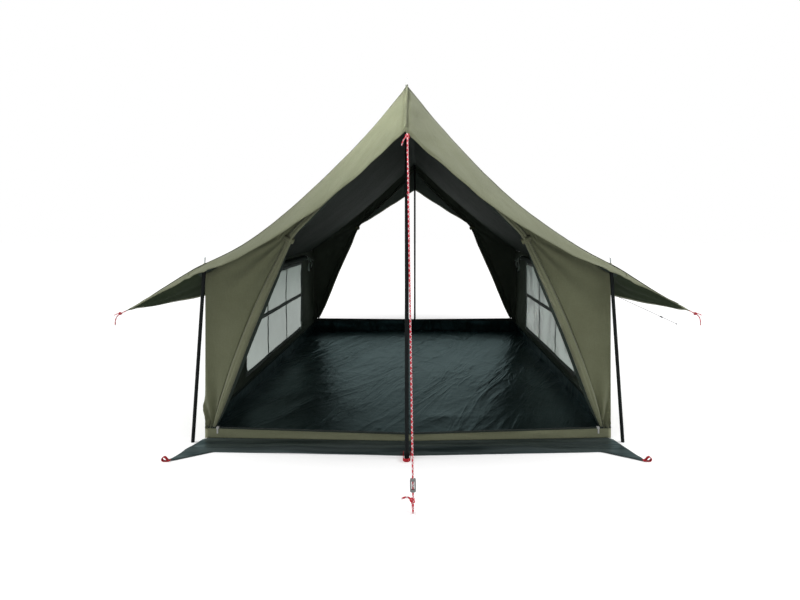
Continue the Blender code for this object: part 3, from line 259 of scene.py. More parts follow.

# %% [markdown]
# ## Sheeting and net
# The groundsheet is a thin laminate that never lies flat: long forked creases and a fine crackle
# break its sheen. They lie askew on the floor and fade to the front, and on the aprons they run
# across, with pale streaks along them that are painted highlights. The net is half see-through and
# lets more of the white behind it through low down, so its upper part reads darker: painted shade.

# %% Finishes of the sheeting and the net
def sheeting_finish(name, gloss, crease, deep, pale, lie=-66, streak=(1, 1, 1)):
    """Black-green laminate. lie turns its creases, streak stretches its tint; a stretched tint, as on
    the aprons, gives pale streaks that are painted highlights.
    """
    finish = tinted(name, gloss, streak, 2.2, 5.0, deep, pale, low=0.36, high=0.68, specular=0.26)
    finish.set(Specular_Tint=(0.50, 0.90, 1.0), Sheen_Weight=0.015, Sheen_Tint=(0.45, 0.92, 1.0))
    where = finish.place()
    turned = finish.node("ShaderNodeMapping", "Vector", Vector=where,
                         Rotation=(0, 0, math.radians(lie)))
    slant = finish.node("ShaderNodeMapping", "Vector", Vector=turned, Scale=(0.55, 2.4, 1.0))
    folds = finish.node("ShaderNodeTexNoise", "Fac", noise_type="RIDGED_MULTIFRACTAL", Vector=slant,
                        Scale=1.5, Detail=4.0, Roughness=0.5, Lacunarity=2.3, Offset=0.9, Gain=2.0,
                        Distortion=0.6)
    calm = finish.blotches(where, 0.8, 2.0).stretched(0.38, 0.62)
    if lie:
        calm = calm * where.axis(1).stretched(-1.7, 0.4)
    finish.bump(folds * (calm * 0.8 + 0.2), crease, 0.020)
    finish.bump(finish.blotches(where, 26.0, 6.0, 0.62), 0.42, 0.004)
    return finish.material

def net_finish(name):
    """Mosquito net: pale threads with holes too small to see one by one."""
    finish = tinted(name, 0.8, (1, 1, 1), 4.0, 4.0, (0.515, 0.66, 0.572), (0.572, 0.728, 0.634),
                    specular=0.2)
    # Painted shade: the net is more see-through low down, so its upper part reads darker.
    low_down = finish.place().axis(2).stretched(0.85, 0.25)
    finish.set(Transmission_Weight=0.14, IOR=1.03, Alpha=low_down * -0.12 + 0.955)
    finish.bump(finish.blotches(finish.place((1, 1, 3)), 9.0, 5.0), 0.3, 0.01)
    return finish.material

SHEETING = sheeting_finish("crinkled_sheeting", 0.34, 0.80, (0.006, 0.011, 0.0105),
                           (0.013, 0.0215, 0.021))
# Painted highlights: the aprons' pale shade runs in streaks along their folds.
HIGHLIGHT_STREAKED_APRON = sheeting_finish("apron_sheeting_painted_highlights", 0.42, 0.45, (0.0115, 0.0160, 0.0155),
                                 (0.058, 0.071, 0.069), 0, (0.5, 8.5, 1.0))
NET = net_finish("window_net")
print("finishes:", SHEETING.name, HIGHLIGHT_STREAKED_APRON.name, NET.name)

# %% [markdown]
# ## Steel, webbing, rope and fittings
# The poles are black enamel over steel, faintly orange-peeled. Webbing has ribs across it. A rope is
# braided: small diamonds in its bump, and a bright tracer thread that winds round it both ways.

# %% Finishes of the hard parts, webbing and rope
def enamel_finish(name, colour, roughness, fleck=0.35, specular=0.5):
    """Enamel on steel, faintly orange-peeled and rubbed."""
    lighter = tuple(min(1.0, value * (1 + fleck) + 0.004) for value in colour)
    finish = tinted(name, roughness, (40, 40, 4), 2.0, 5.0, colour, lighter, 0.6, 0.45, 0.75,
                    specular=specular)
    finish.bump(finish.blotches(finish.place(), 420.0, 2.0), 0.06, 0.0008)
    return finish.material

def webbing_finish(name, deep, pale):
    """Polyester webbing: raised ribs across a flat tape."""
    finish = Finish(name, 0.7, specular=0.3)
    ribs = finish.node("ShaderNodeTexWave", "Fac", wave_type="BANDS", bands_direction="DIAGONAL",
                       Vector=finish.place(), Scale=180.0, Distortion=1.0)
    finish.set(Base_Color=finish.ramp(ribs, (0.2, deep), (0.8, pale)))
    finish.bump(ribs, 0.5, 0.001)
    return finish.material

def rope_finish(name, main, fleck, pitch, amount):
    """Braided cord with a tracer thread."""
    finish = tinted(name, 0.75, (1, 1, 1), 60.0, 3.0, tuple(v * 0.8 for v in main), main,
                    specular=0.25)
    uv = finish.place(source="UV")
    laid, around = uv.axis(0).math("DIVIDE", pitch), uv.axis(1)
    windings = laid + around, laid - around
    tracer, tracer_back = (turn.math("FRACT").math("LESS_THAN", amount) for turn in windings)
    finish.set(Base_Color=finish.blend(tracer.math("MAXIMUM", tracer_back), finish.now("Base Color"),
                                       fleck))
    strand, strand_back = ((turn * (4 * math.tau)).math("SINE") for turn in windings)
    finish.bump(strand * strand_back, 0.6, 0.0012)
    return finish.material

def plastic_finish(name, colour, roughness):
    """Moulded plastic with a fine spark-eroded grain."""
    finish = tinted(name, roughness, (1, 1, 1), 70.0, 3.0, tuple(v * 0.86 for v in colour), colour)
    finish.bump(finish.blotches(finish.place(), 1500.0, 2.0), 0.15, 0.0004)
    return finish.material

POLE = enamel_finish("black_enamel", (0.006, 0.0078, 0.0080), 0.50, specular=0.08)
ZIP = enamel_finish("white_enamel", (0.62, 0.62, 0.60), 0.4, 0.1)
WEBBING = webbing_finish("red_webbing", (0.36, 0.006, 0.012), (0.58, 0.016, 0.028))
RED_ROPE = rope_finish("red_rope", (0.80, 0.055, 0.080), (0.92, 0.74, 0.76), 0.024, 0.20)
RED_KNOT = rope_finish("red_knot", (0.74, 0.030, 0.050), (0.90, 0.70, 0.72), 0.024, 0.05)
GREY_ROPE = rope_finish("grey_rope", (0.045, 0.045, 0.045), (0.12, 0.12, 0.12), 0.012, 0.25)
SLIDER = plastic_finish("grey_slider_plastic", (0.23, 0.235, 0.235), 0.42)
TOGGLE = plastic_finish("black_toggle_plastic", (0.012, 0.012, 0.013), 0.45)
BRASS = tinted("dull_eyelet_brass", 0.38, (1, 1, 1), 300.0, 4.0, (0.20, 0.17, 0.11),
               (0.34, 0.29, 0.19), metallic=1.0).material
print("finishes:", len(bpy.data.materials))

# %% [markdown]
# ## From rows of places to a piece
# Ropes, cloth, hems and straps are all rows of places with faces between them. One helper lays the
# faces, with UVs in metres along the piece for stitches and braid; another makes the piece itself
# and lets it ride on the tent.

# %% Helpers that make pieces
def runs_along(points):
    """How far along a line each of its points lies."""
    points = [Vector(point) for point in points]
    return np.cumsum([0.0] + [(b - a).length for a, b in zip(points, points[1:])])

def lay_faces(shape, rows, runs, shares, holes=None, turned=False):
    """Faces between rows of places; runs and shares are their UVs along and across. One share more
    than there are places closes each row on itself. Turned faces look the other way."""
    uv_layer = shape.loops.layers.uv.get("cloth") or shape.loops.layers.uv.new("cloth")
    verts = [[shape.verts.new(tuple(place)) for place in row] for row in rows]
    for r, c in np.ndindex(len(rows) - 1, len(shares) - 1):
        if holes is not None and holes[r, c]:
            continue
        after = (c + 1) % len(verts[r])
        corners = [(verts[r][c], (runs[r], shares[c])), (verts[r][after], (runs[r], shares[c + 1])),
                   (verts[r + 1][after], (runs[r + 1], shares[c + 1])),
                   (verts[r + 1][c], (runs[r + 1], shares[c]))]
        if turned:
            corners[1], corners[3] = corners[3], corners[1]
        face = shape.faces.new([vert for vert, _ in corners])
        face.smooth = True
        for loop, (_, place) in zip(face.loops, corners):
            loop[uv_layer].uv = place
    return verts

def new_piece(name, shape, slot_name, *finishes, thickness=0.0, fine=0):
    """A piece of the scene from a finished shape. Cloth gets a thickness, its last finish inside."""
    mesh = bpy.data.meshes.new(name)
    shape.to_mesh(mesh)
    shape.free()
    piece = bpy.data.objects.new(name, mesh)
    bpy.context.scene.collection.objects.link(piece)
    for finish in finishes:
        mesh.materials.append(finish)
    if fine:
        smoother = piece.modifiers.new("fine_weave", "SUBSURF")
        smoother.levels = smoother.render_levels = fine
    if thickness:
        shell = piece.modifiers.new("thickness", "SOLIDIFY")
        shell.thickness, shell.offset, shell.material_offset = thickness, 0.0, 1
    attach(piece, "tent")
    return piece

print("helpers for pieces are ready")

# %% [markdown]
# ## The lines that the roof hangs on
# The real roof is one sewn canopy: two slopes, a visor over each door and a side awning drawn out into
# wings. It is pulled tight over six poles, so its shape is a set of hanging lines between peaks. These
# small functions give those lines. The front guyline needs the visor's edge, so they come before it.

# %% Hanging lines
def mix(first, second, share):
    """The value or point at a share of the way from first to second."""
    return first + (second - first) * share

def hang(share):
    """How deep a hanging line sags along its span: 1 in the middle, 0 at its ends."""
    return 4 * share * (1 - share)

def awning_edge(y):
    """The awning's free edge, drawn out to the wing near each corner."""
    along = min(1.0, abs(y) / WING[1])
    return mix(HALF_WIDTH + 0.13, WING[0], along ** 4), mix(EAVE - 0.17, WING[2], along ** 2)

def peaked_line(x, start, corner, sag, wing_step):
    """A line over half a door: from its start over the corner to the wing, as distance and height."""
    if x <= PEAK[0]:
        share = x / PEAK[0]
        return mix(start[0], corner[0], share), mix(start[1], corner[1], share) - sag * hang(share)
    share = (x - PEAK[0]) / (WING[0] - PEAK[0])
    return mix(corner[0], WING[1] + wing_step, share), mix(corner[1], WING[2], share)

def visor_edge(x, end):
    """The visor's free edge over a door."""
    return peaked_line(x, VISOR_TIP, VISOR_CORNER, SAGS[end]["visor"], 0.013)

def hip_line(x, end):
    """The hip from the upright's top over the corner pole to the wing's tip."""
    return peaked_line(x, (UPRIGHT_Y, APEX), PEAK[1:], SAGS[end]["hip"], -0.013)

print("front hip at half its span:", [round(v, 3) for v in hip_line(0.61, -1)])

# %% [markdown]
# ## Rope
# A guyline is a real length of braided cord. It could be a curve with a bevel, but a mesh of rings
# carries UVs for its braid. The front one is pulled tight from the visor's tip to the ground, turns
# there round the place of its peg, and comes back to a knot under the slider.

# %% The front guyline
def tube_sections(points, radius, sides):
    """Rings of points round a line, carried along it without twisting."""
    points = [Vector(point) for point in points]
    across = (points[1] - points[0]).orthogonal().normalized()
    rings = []
    for index, point in enumerate(points):
        along = (points[min(index + 1, len(points) - 1)] - points[max(index - 1, 0)]).normalized()
        across = (across - along * across.dot(along)).normalized()
        third = along.cross(across)
        rings.append([point + (across * math.cos(turn) + third * math.sin(turn)) * radius
                      for turn in (math.tau * index / sides for index in range(sides))])
    return rings

def rope(name, points, radius, finish, slot_name, *nodes, sides=10):
    """A round cord along points, with UVs in metres along it and in turns round it."""
    shape = bmesh.new()
    rings = lay_faces(shape, tube_sections(points, radius, sides), runs_along(points),
                      np.linspace(0, 1, sides + 1))
    for ring in (rings[0][::-1], rings[-1]):
        shape.faces.new(ring)
    piece = new_piece(name, shape, slot_name, finish)
    if nodes:
        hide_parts(*nodes)
    return piece

def line_between(start, end, count):
    """Even points from start to end."""
    return [tuple(Vector(start).lerp(Vector(end), index / count)) for index in range(count + 1)]

def run_length(points):
    """The length of a run of points."""
    return round(float(runs_along(points)[-1]), 3)

GUY_ASIDE = 0.012
edge_y, edge_z = visor_edge(GUY_ASIDE, -1)
visor_down = Vector((0, UPRIGHT_Y - VISOR_TIP[0], VISOR_TIP[1] - APEX)).normalized()
GUY_TOP = Vector((GUY_ASIDE, -edge_y, edge_z)) + visor_down * 0.0032
GUY_FOOT = (0.0445, -2.2995, 0.072)
GUY_HAIRPIN = [
    (0.0450, -2.3035, 0.0480), (0.0450, -2.3050, 0.0340), (0.0448, -2.3048, 0.0230),
    (0.0444, -2.3010, 0.0130), (0.0438, -2.2940, 0.0066), (0.0432, -2.2870, 0.0047),
    (0.0424, -2.2798, 0.0070), (0.0416, -2.2730, 0.0130), (0.0408, -2.2690, 0.0225),
    (0.0395, -2.2685, 0.0330), (0.0378, -2.2715, 0.0440), (0.0358, -2.2765, 0.0540),
    (0.0322, -2.2815, 0.0625), (0.0260, -2.2850, 0.0690), (0.0180, -2.2865, 0.0725),
    (0.0090, -2.2870, 0.0725), (0.0000, -2.2870, 0.0700), (-0.0090, -2.2870, 0.0665)]
guy_points = line_between(GUY_TOP, GUY_FOOT, 50) + GUY_HAIRPIN
guyline = rope("front_guyline", guy_points, 0.0042, RED_ROPE, "red_cord", "guyline_front")
print("front guyline", run_length(guy_points), "m")

# %% [markdown]
# ## Knots
# A knot is the same cord wound tightly round itself. A true hitch would take a long route of points;
# a short coil of two or three turns with a slanting turn over it reads as one from every side.

# %% Knots on the front guyline
def knot(name, middle, axis, radius, cord_radius, finish, slot_name, turns=3):
    """A hitch: turns of cord round an axis, crossed by one slanting turn."""
    axis = Vector(axis).normalized()
    across = axis.orthogonal().normalized()
    third = axis.cross(across)
    steps, turn_steps = turns * 14, 14
    wound = [(turns * index / steps, radius, (index / steps - 0.5) * turns * cord_radius * 1.7)
             for index in range(steps + 1)]
    for index in range(1, turn_steps + 1):
        share = index / turn_steps
        wound.append((turns + share, radius + cord_radius * 1.2 * math.sin(math.pi * share),
                      turns * cord_radius * 0.85 * math.cos(math.pi * share)))
    points = [tuple(Vector(middle) + across * out * math.cos(math.tau * turn)
                    + third * out * math.sin(math.tau * turn) + axis * rise)
              for turn, out, rise in wound]
    return rope(name, points, cord_radius, finish, slot_name, sides=8)

def tail(name, start, steps, radius):
    """The loose end of a knot, at steps from its start."""
    return rope(name, [tuple(Vector(start) + Vector(step)) for step in steps], radius, RED_ROPE,
                "red_cord")

top_knot = knot("visor_knot", GUY_TOP + Vector((0.0, 0.004, -0.012)), (0.0, 0.1, 1.0), 0.0062, 0.0036,
                RED_KNOT, "red_cord")
top_tail = tail("visor_knot_tail", GUY_TOP,
                ((-0.004, 0.0, -0.012), (-0.012, 0.001, -0.020), (-0.020, 0.002, -0.032),
                 (-0.026, 0.002, -0.046), (-0.029, 0.002, -0.060)), 0.0034)
low_knot = knot("guyline_knot", (0.0418, -2.2918, 0.0615), (-0.02, 0.14, 0.99), 0.0068, 0.0038,
                RED_KNOT, "red_cord", 2)
run_length(guy_points)
print("knots:", top_knot.name, low_knot.name)

# %% [markdown]
# ## The wings' cords and the thin rear guyline
# Each front wing has a short tied cord that hangs from its eyelet: it bends over and drops by its own
# weight. The rear right wing is held by a thin grey cord, taut to the ground, with its toggle.

# %% Cords on the wings
WING_ROUTE = [(0.0012, -0.0003, -0.0006), (0.014, -0.003, -0.007), (0.026, -0.006, -0.013),
              (0.038, -0.008, -0.019), (0.049, -0.010, -0.027), (0.058, -0.011, -0.037),
              (0.063, -0.012, -0.049), (0.066, -0.013, -0.063), (0.067, -0.013, -0.077),
              (0.067, -0.013, -0.090)]
WING_TAIL = ((0.004, 0.0, 0.002), (0.014, -0.001, 0.000), (0.026, -0.002, -0.004),
             (0.037, -0.002, -0.010))
REAR_FOOT = (3.430, 1.870, 0.017)
for side, side_name in SIDES:
    points = [(side * (WING[0] + x), -(WING[1] - y), WING[2] + z) for x, y, z in WING_ROUTE]
    cord = rope("front_wing_cord_" + side_name, points, 0.0032, RED_ROPE, "red_cord",
                "wing_cord_" + side_name)
    hitch = knot("wing_knot_" + side_name, points[3], Vector(points[4]) - Vector(points[2]), 0.0052,
                 0.0030, RED_KNOT, "red_cord", 2)
    loose = tail("wing_tail_" + side_name, points[3], [(side * x, y, z) for x, y, z in WING_TAIL],
                 0.0028)
    run_length(points)
rear_along = (Vector(REAR_FOOT) - Vector(WING)).normalized()
rear_points = line_between(Vector(WING) + rear_along * 0.001, REAR_FOOT, 60)
rear_guy = rope("rear_right_guyline", rear_points, 0.0026, GREY_ROPE, "grey_cord",
                "guyline_rear_right")
rear_knot = knot("rear_guy_loop", REAR_FOOT, rear_along, 0.0042, 0.0024, GREY_ROPE, "grey_cord", 2)
run_length(rear_points)
print("rear guyline", run_length(rear_points), "m")

# %% [markdown]
# ## The roof as one piece of cloth
# Between its hanging lines the cloth is a set of straight threads that sag a little. Any point of the
# roof is found between the lines, by its distance from the middle and by its row: the rows run from
# the front visor's edge over the hip and the ridge to the rear visor's edge.

# %% Any point of the roof
def slope_height(x, y):
    """The height of a slope between the doors, and of the awning past the eave."""
    if x <= HALF_WIDTH:
        share = x / HALF_WIDTH
        ridge = APEX - 0.05 * (1 - min(1.0, abs(y) / UPRIGHT_Y) ** 2)
        sag = mix(SAGS[-1]["slope"], SAGS[1]["slope"], (y + HALF_DEPTH) / (2 * HALF_DEPTH))
        return mix(ridge, EAVE, share) - sag * hang(share)
    outer_x, outer_z = awning_edge(y)
    return mix(EAVE, outer_z, (x - HALF_WIDTH) / (outer_x - HALF_WIDTH))

def roof_height(x, y, end):
    """The roof's height at a distance y from the tent's middle, up to the hip."""
    if y <= HALF_DEPTH:
        return slope_height(x, end * y)
    hip_y, hip_z = hip_line(x, end)
    return mix(slope_height(x, end * HALF_DEPTH), hip_z,
               min(1.0, (y - HALF_DEPTH) / (hip_y - HALF_DEPTH)))

def row_point(x, row, outer=False):
    """The roof at x on a row: -3 is the front visor's edge, -2 the hip, 0 the middle, 3 the rear."""
    end, place = (-1 if row < 0 else 1), abs(row)
    if place <= 1:
        y = end * HALF_DEPTH * place
        if outer:
            y = y / HALF_DEPTH * (WING[1] - 0.026) * 0.94
            return Vector((awning_edge(y)[0], y, awning_edge(y)[1]))
        return Vector((x, y, slope_height(x, y)))
    if outer:
        x = WING[0]
    hip, edge = (Vector((x, end * y, z)) for y, z in (hip_line(x, end), visor_edge(x, end)))
    if place <= 2:
        return mix(row_point(x, float(end), outer), hip, place - 1)
    return mix(hip, edge, place - 2)

print("ridge at the middle:", round(slope_height(0.0, 0.0), 3), "m")

# %% [markdown]
# ## A grid of cloth
# Cloth starts as a grid of points: rows and columns that follow the weave. The helpers make a mesh from
# such a grid, with UVs in metres for stitches, and give it a thickness and a lining. They also crease
# it: soft folds run out from each point where a pole or cord pulls, and low noise does the rest.

# %% Helpers for cloth grids
def lines_through(*spans):
    """Grid lines through the given spans: start, end, number of steps."""
    lines = [np.linspace(start, end, steps + 1) for start, end, steps in spans]
    return np.concatenate([lines[0]] + [line[1:] for line in lines[1:]])

def unit(steps):
    """Directions of length one."""
    return steps / np.maximum(np.linalg.norm(steps, axis=-1, keepdims=True), 1e-9)

def grid_normals(grid):
    """The direction across the cloth at every point of a grid."""
    return unit(np.cross(np.gradient(grid, axis=1), np.gradient(grid, axis=0)))

def grid_area(grid):
    """The area of a grid of cloth in square metres."""
    a, b = grid[1:, :-1] - grid[:-1, :-1], grid[:-1, 1:] - grid[:-1, :-1]
    c, d = grid[1:, :-1] - grid[1:, 1:], grid[:-1, 1:] - grid[1:, 1:]
    return float(sum(np.linalg.norm(np.cross(*pair), axis=2).sum() for pair in ((a, b), (c, d))) / 2)

def cloth(name, grid, outside, inside, slot_name, thickness=0.0016, holes=None, closed=False, fine=0):
    """A piece of cloth from a grid of points, with its two finishes and its thickness."""
    along, across = (np.concatenate([[0.0], np.cumsum(
        np.linalg.norm(np.diff(grid, axis=axis), axis=2).mean(axis=1 - axis))]) for axis in (0, 1))
    if closed:
        across = [*across, across[-1] + np.linalg.norm(grid[:, 0] - grid[:, -1], axis=1).mean()]
    shape = bmesh.new()
    lay_faces(shape, grid, along, across, holes)
    bmesh.ops.delete(shape, geom=[v for v in shape.verts if not v.link_faces], context="VERTS")
    if closed:
        bmesh.ops.holes_fill(shape, edges=[e for e in shape.edges if e.is_boundary], sides=0)
    return new_piece(name, shape, slot_name, outside, inside, thickness=thickness, fine=fine)

def second_finish(piece, outside, inside, chosen):
    """Another finish on both sides of the chosen faces of a cloth."""
    for finish in (outside, inside):
        piece.data.materials.append(finish)
    for face in piece.data.polygons:
        face.material_index = 2 if chosen(face) else 0

def ripple(*place):
    """Smooth noise at a place, between -1 and 1."""
    return noise.noise(Vector(place))

def wrinkle(grid, amount, scale, seed, stretch=(1.0, 1.0, 1.0)):
    """Smooth noise over a grid, between minus and plus amount."""
    places = grid * np.array(stretch) * scale + np.array((seed, -seed, seed * 2))
    return amount * np.array([[ripple(*place) for place in row] for row in places])

def fan(turn, distance, count, phase, reach, amount, calm):
    """Folds that fan out from a point where cloth is pulled, and die out past their reach."""
    fade = np.exp(-(distance / reach) ** 2) * distance / (distance + calm)
    return np.sin(turn * count + phase) * fade * amount

def tension_folds(grid, source, count, reach, amount, phase):
    """A fan of folds on the roof, seen from above."""
    gap = grid - np.array(source)
    distance = np.linalg.norm(gap, axis=2)
    return fan(np.arctan2(gap[..., 1], gap[..., 0]), distance, count, phase + 3 * distance, reach,
               amount, 0.06)

print("helpers for cloth are ready")

# %% [markdown]
# ## Canopy
# The canopy could be modelled as separate panels, but the eye then finds flat planes and hard folds.
# One grid of nearly fifteen thousand points keeps it a single skin that bends softly over the eaves.
# Its lining side is a second finish on the same cloth.

# %% Canopy as a smooth skin
roof_columns = [*np.linspace(0, PEAK[0] - 0.06, 40), PEAK[0] - 0.03, PEAK[0], HALF_WIDTH, SEAM_X]
canopy_rows = lines_through((-3, -2, 10), (-2, -1, 8), (-1, 1, 90), (1, 2, 8), (2, 3, 10))
half = []
for row in canopy_rows:
    line = [row_point(float(x), float(row)) for x in roof_columns]
    outer = row_point(0.0, float(row), True)
    half.append(line + [mix(line[-1], outer, share) for share in np.linspace(0, 1, 15)[1:]])
half = np.array(half)
canopy_grid = np.concatenate([half[:, :0:-1] * (-1, 1, 1), half], axis=1)
near_crease = np.exp(-((np.abs(canopy_rows) - 1.0) / 0.16) ** 2)[1:-1, None, None] * 0.5
for _ in range(14):
    middle = (canopy_grid[:-2] + canopy_grid[2:]) / 2
    canopy_grid[1:-1] += (middle - canopy_grid[1:-1]) * near_crease
near_eave = np.exp(-((np.abs(canopy_grid[0, :, 0]) - HALF_WIDTH) / 0.05) ** 2)[None, 1:-1, None] * 0.4
for _ in range(3):
    middle = (canopy_grid[:, :-2] + canopy_grid[:, 2:]) / 2
    canopy_grid[:, 1:-1] += (middle - canopy_grid[:, 1:-1]) * near_eave
canopy_flat = grid_area(canopy_grid)
print("canopy grid:", canopy_grid.shape[:2], "points")

# %% [markdown]
# The smooth skin is then creased across its own surface. Fans of folds run out from every pole and
# wing, the visors' edges flutter a little, and slow noise does the rest.

# %% Canopy with its folds
lift = sum(wrinkle(canopy_grid, *kind) for kind in ((0.006, 1.7, 3.0), (0.0022, 6.5, 9.0),
                                                    (0.0008, 21.0, 5.0)))
for end, _ in ENDS:
    pulls = [((0, end * UPRIGHT_Y, APEX), 14, 0.55, 0.0050, 0.6),
             ((0, end * VISOR_TIP[0], VISOR_TIP[1]), 13, 0.26, 0.0062, 1.4)]
    for side, _ in SIDES:
        pulls.append(((side * PEAK[0], end * PEAK[1], PEAK[2]), 11, 0.42, 0.0065, side))
        pulls.append(((side * WING[0], end * WING[1], WING[2]), 16, 0.50, 0.0060, 2.0 * side))
    lift += sum(tension_folds(canopy_grid, *pull) for pull in pulls)
near_edge = np.exp(-((3.0 - np.abs(canopy_rows)) / 0.16) ** 2)[:, None]
aside = np.abs(canopy_grid[..., 0])
clear_of_ties = np.clip((aside - 0.10) / 0.12, 0, 1) * np.clip((PEAK[0] - aside) / 0.12, 0, 1)
lift += wrinkle(canopy_grid, 0.012, 6.0, 21.0) * near_edge * clear_of_ties
canopy_grid += grid_normals(canopy_grid) * lift[..., None]
canopy = cloth("canopy", canopy_grid, CANVAS_OUT, CANVAS_IN, "canvas")
# Past the eaves the underside takes the darker finish: painted shade under the awnings.
second_finish(canopy, CANVAS_OUT, SHADED_AWNING_UNDER, lambda face: abs(face.center.x) > SEAM_X)
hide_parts("roof_canopy", "side_awning_left", "side_awning_right")
print("canopy:", len(canopy.data.vertices), "points,", round(canopy_flat, 2), "m2")

# %% [markdown]
# Walls and panels are sewn to the underside of this cloth, so the later pieces ask it how high it hangs
# over a place. A ray sent straight up from below gives the answer.

# %% Where the roof hangs
canopy_index = np.arange(canopy_grid[..., 0].size).reshape(canopy_grid.shape[:2])
canopy_quads = np.stack([canopy_index[:-1, :-1], canopy_index[:-1, 1:], canopy_index[1:, 1:],
                         canopy_index[1:, :-1]], axis=-1).reshape(-1, 4).tolist()
canopy_tree = BVHTree.FromPolygons([Vector(p) for p in canopy_grid.reshape(-1, 3)], canopy_quads)

def under_roof(x, y, guess, below=0.0022):
    """The height just under the canopy over a place, near a guess."""
    hit = canopy_tree.ray_cast(Vector((x, y, guess - 0.20)), Vector((0, 0, 1)), 0.45)[0]
    return guess if hit is None else hit.z - below

print("roof over the middle of a side wall:", round(under_roof(HALF_WIDTH, 0.0, EAVE), 3))

# %% [markdown]
# ## Seams, hems and eyelets of the canopy
# Sewn lines are what makes cloth believable. A flat felled seam is a raised band with two rows of
# stitches, so a narrow ribbon is laid on the cloth along the ridge, hips and eaves. The free edges are
# turned over and stitched. Where a spike or cord goes through, there is a rolled brass eyelet.

# %% Stitched finish for seams and hems
STITCH_PITCH = 0.0055

def stitched_finish(name, base, thread, *places):
    """Canvas with two rows of stitches: places are shares of the band's width."""
    finish = Finish(name, base=base)
    uv = finish.place(source="UV")
    dash = uv.axis(0).math("DIVIDE", STITCH_PITCH).math("FRACT").math("LESS_THAN", 0.68)
    first, second = ((uv.axis(1) - place).math("ABSOLUTE").math("LESS_THAN", 0.045)
                     for place in places)
    stitch = dash * first.math("MAXIMUM", second)
    finish.set(Base_Color=finish.blend(stitch, finish.now("Base Color"), thread))
    finish.bump(stitch, 0.8, 0.0010)
    return finish.material

def ribbon(name, lines, finish, slot_name, shares=None):
    """Bands that follow lines of cross sections: each section is a row of points across the band."""
    shape = bmesh.new()
    for sections in lines:
        lay_faces(shape, sections, runs_along([section[0] for section in sections]),
                  shares or np.linspace(0, 1, len(sections[0])), turned=True)
    return new_piece(name, shape, slot_name, finish)

HEM_OUT = stitched_finish("stitched_olive_hem", CANVAS_OUT, (0.075, 0.075, 0.045), 0.22, 0.78)
HEM_IN = stitched_finish("stitched_dark_hem", CANVAS_IN, (0.05, 0.06, 0.05), 0.22, 0.78)
TAPE_HEM = stitched_finish("stitched_tape", TAPE, (0.012, 0.014, 0.012), 0.14, 0.86)
TIE_HEM = stitched_finish("stitched_tie", TIE_TAPE, (0.03, 0.035, 0.03), 0.16, 0.84)
print("stitched finishes:", HEM_OUT.name, HEM_IN.name, TAPE_HEM.name)

# %% [markdown]
# The hem is built from the grid's own edge: each section goes up one side of the cloth, round its edge
# and back on the other side. The felled seams lie on the outside along rows and columns of the grid.

# %% Hems and felled seams
HEM_WIDTH, HEM_HEIGHT = 0.020, 0.0019
SEAM_HALF, SEAM_HEIGHT, SEAM_BASE = 0.0065, 0.0012, 0.0009
canopy_normals = grid_normals(canopy_grid)

def hem_sections(edge, inner, normals):
    """Sections of a turned hem: edge points, points a little further in, and the cloth's direction."""
    inwards = unit(inner - edge)
    deep, up = edge + inwards * HEM_WIDTH, normals * HEM_HEIGHT
    return np.stack([deep + up * 0.55, edge + inwards * 0.001 + up, edge - inwards * HEM_HEIGHT * 0.7,
                     edge + inwards * 0.001 - up, deep - up * 0.55], axis=1)

def felled(place, across):
    """Sections of a flat seam that lies on the canopy, on a run of its grid."""
    path, step, up = canopy_grid[place], unit(across[place]), canopy_normals[place]
    return np.stack([path + step * reach * sign + up * rise for sign, reach, rise in (
        (1, SEAM_HALF + 0.001, SEAM_BASE * 0.6), (1, SEAM_HALF, SEAM_BASE + SEAM_HEIGHT),
        (-1, SEAM_HALF, SEAM_BASE + SEAM_HEIGHT), (-1, SEAM_HALF + 0.001, SEAM_BASE * 0.6))], axis=1)

edge_lines = [hem_sections(grid[rim], grid[inner], normals[rim])
              for grid, normals in ((canopy_grid, canopy_normals),
                                    (canopy_grid.swapaxes(0, 1), canopy_normals.swapaxes(0, 1)))
              for rim, inner in ((0, 2), (-1, -3))]
canopy_hem = ribbon("canopy_hem", edge_lines, HEM_OUT, "canvas", [0.0, 0.92, 1.0, 0.92, 0.0])
columns_across, rows_along = np.gradient(canopy_grid, axis=1), np.gradient(canopy_grid, axis=0)
seam_lines = [felled(np.s_[1:-1, canopy_grid.shape[1] // 2], columns_across)]
for side, _ in SIDES:
    column = int(np.argmin(np.abs(canopy_grid[len(canopy_rows) // 2, :, 0] - side * SEAM_X)))
    seam_lines.append(felled(np.s_[2:-2, column], columns_across))
for end, _ in ENDS:
    row = int(np.argmin(np.abs(canopy_rows - 2.0 * end)))
    seam_lines.append(felled(np.s_[row, 2:-2], rows_along))
canopy_seams = ribbon("canopy_seams", seam_lines, HEM_OUT, "canvas")
print("hem and seams:", len(canopy_hem.data.polygons), len(canopy_seams.data.polygons), "faces")

# %% [markdown]
# ## Side walls
# A side wall hangs from the eave to the rim of the groundsheet. It has slack, so it bellies a little
# and creases under the window. Its cut-out for the window is left open in the grid.

# %% Side walls with their windows
WINDOW_LOW, WINDOW_HIGH = (0.705 - HALF_DEPTH, 0.164), (HALF_DEPTH - 0.57, EAVE - 0.103)
(low_y, low_z), (high_y, high_z) = WINDOW_LOW, WINDOW_HIGH
WALL_REACH, WALL_FOOT = HALF_DEPTH + 0.0012, 0.100
wall_y = lines_through((-WALL_REACH, low_y, 22), (low_y, high_y, 44), (high_y, WALL_REACH, 18))
wall_z = lines_through((WALL_FOOT - 0.018, WALL_FOOT, 2), (WALL_FOOT, low_z, 5), (low_z, high_z, 26),
                       (high_z, EAVE - 0.0055, 5))

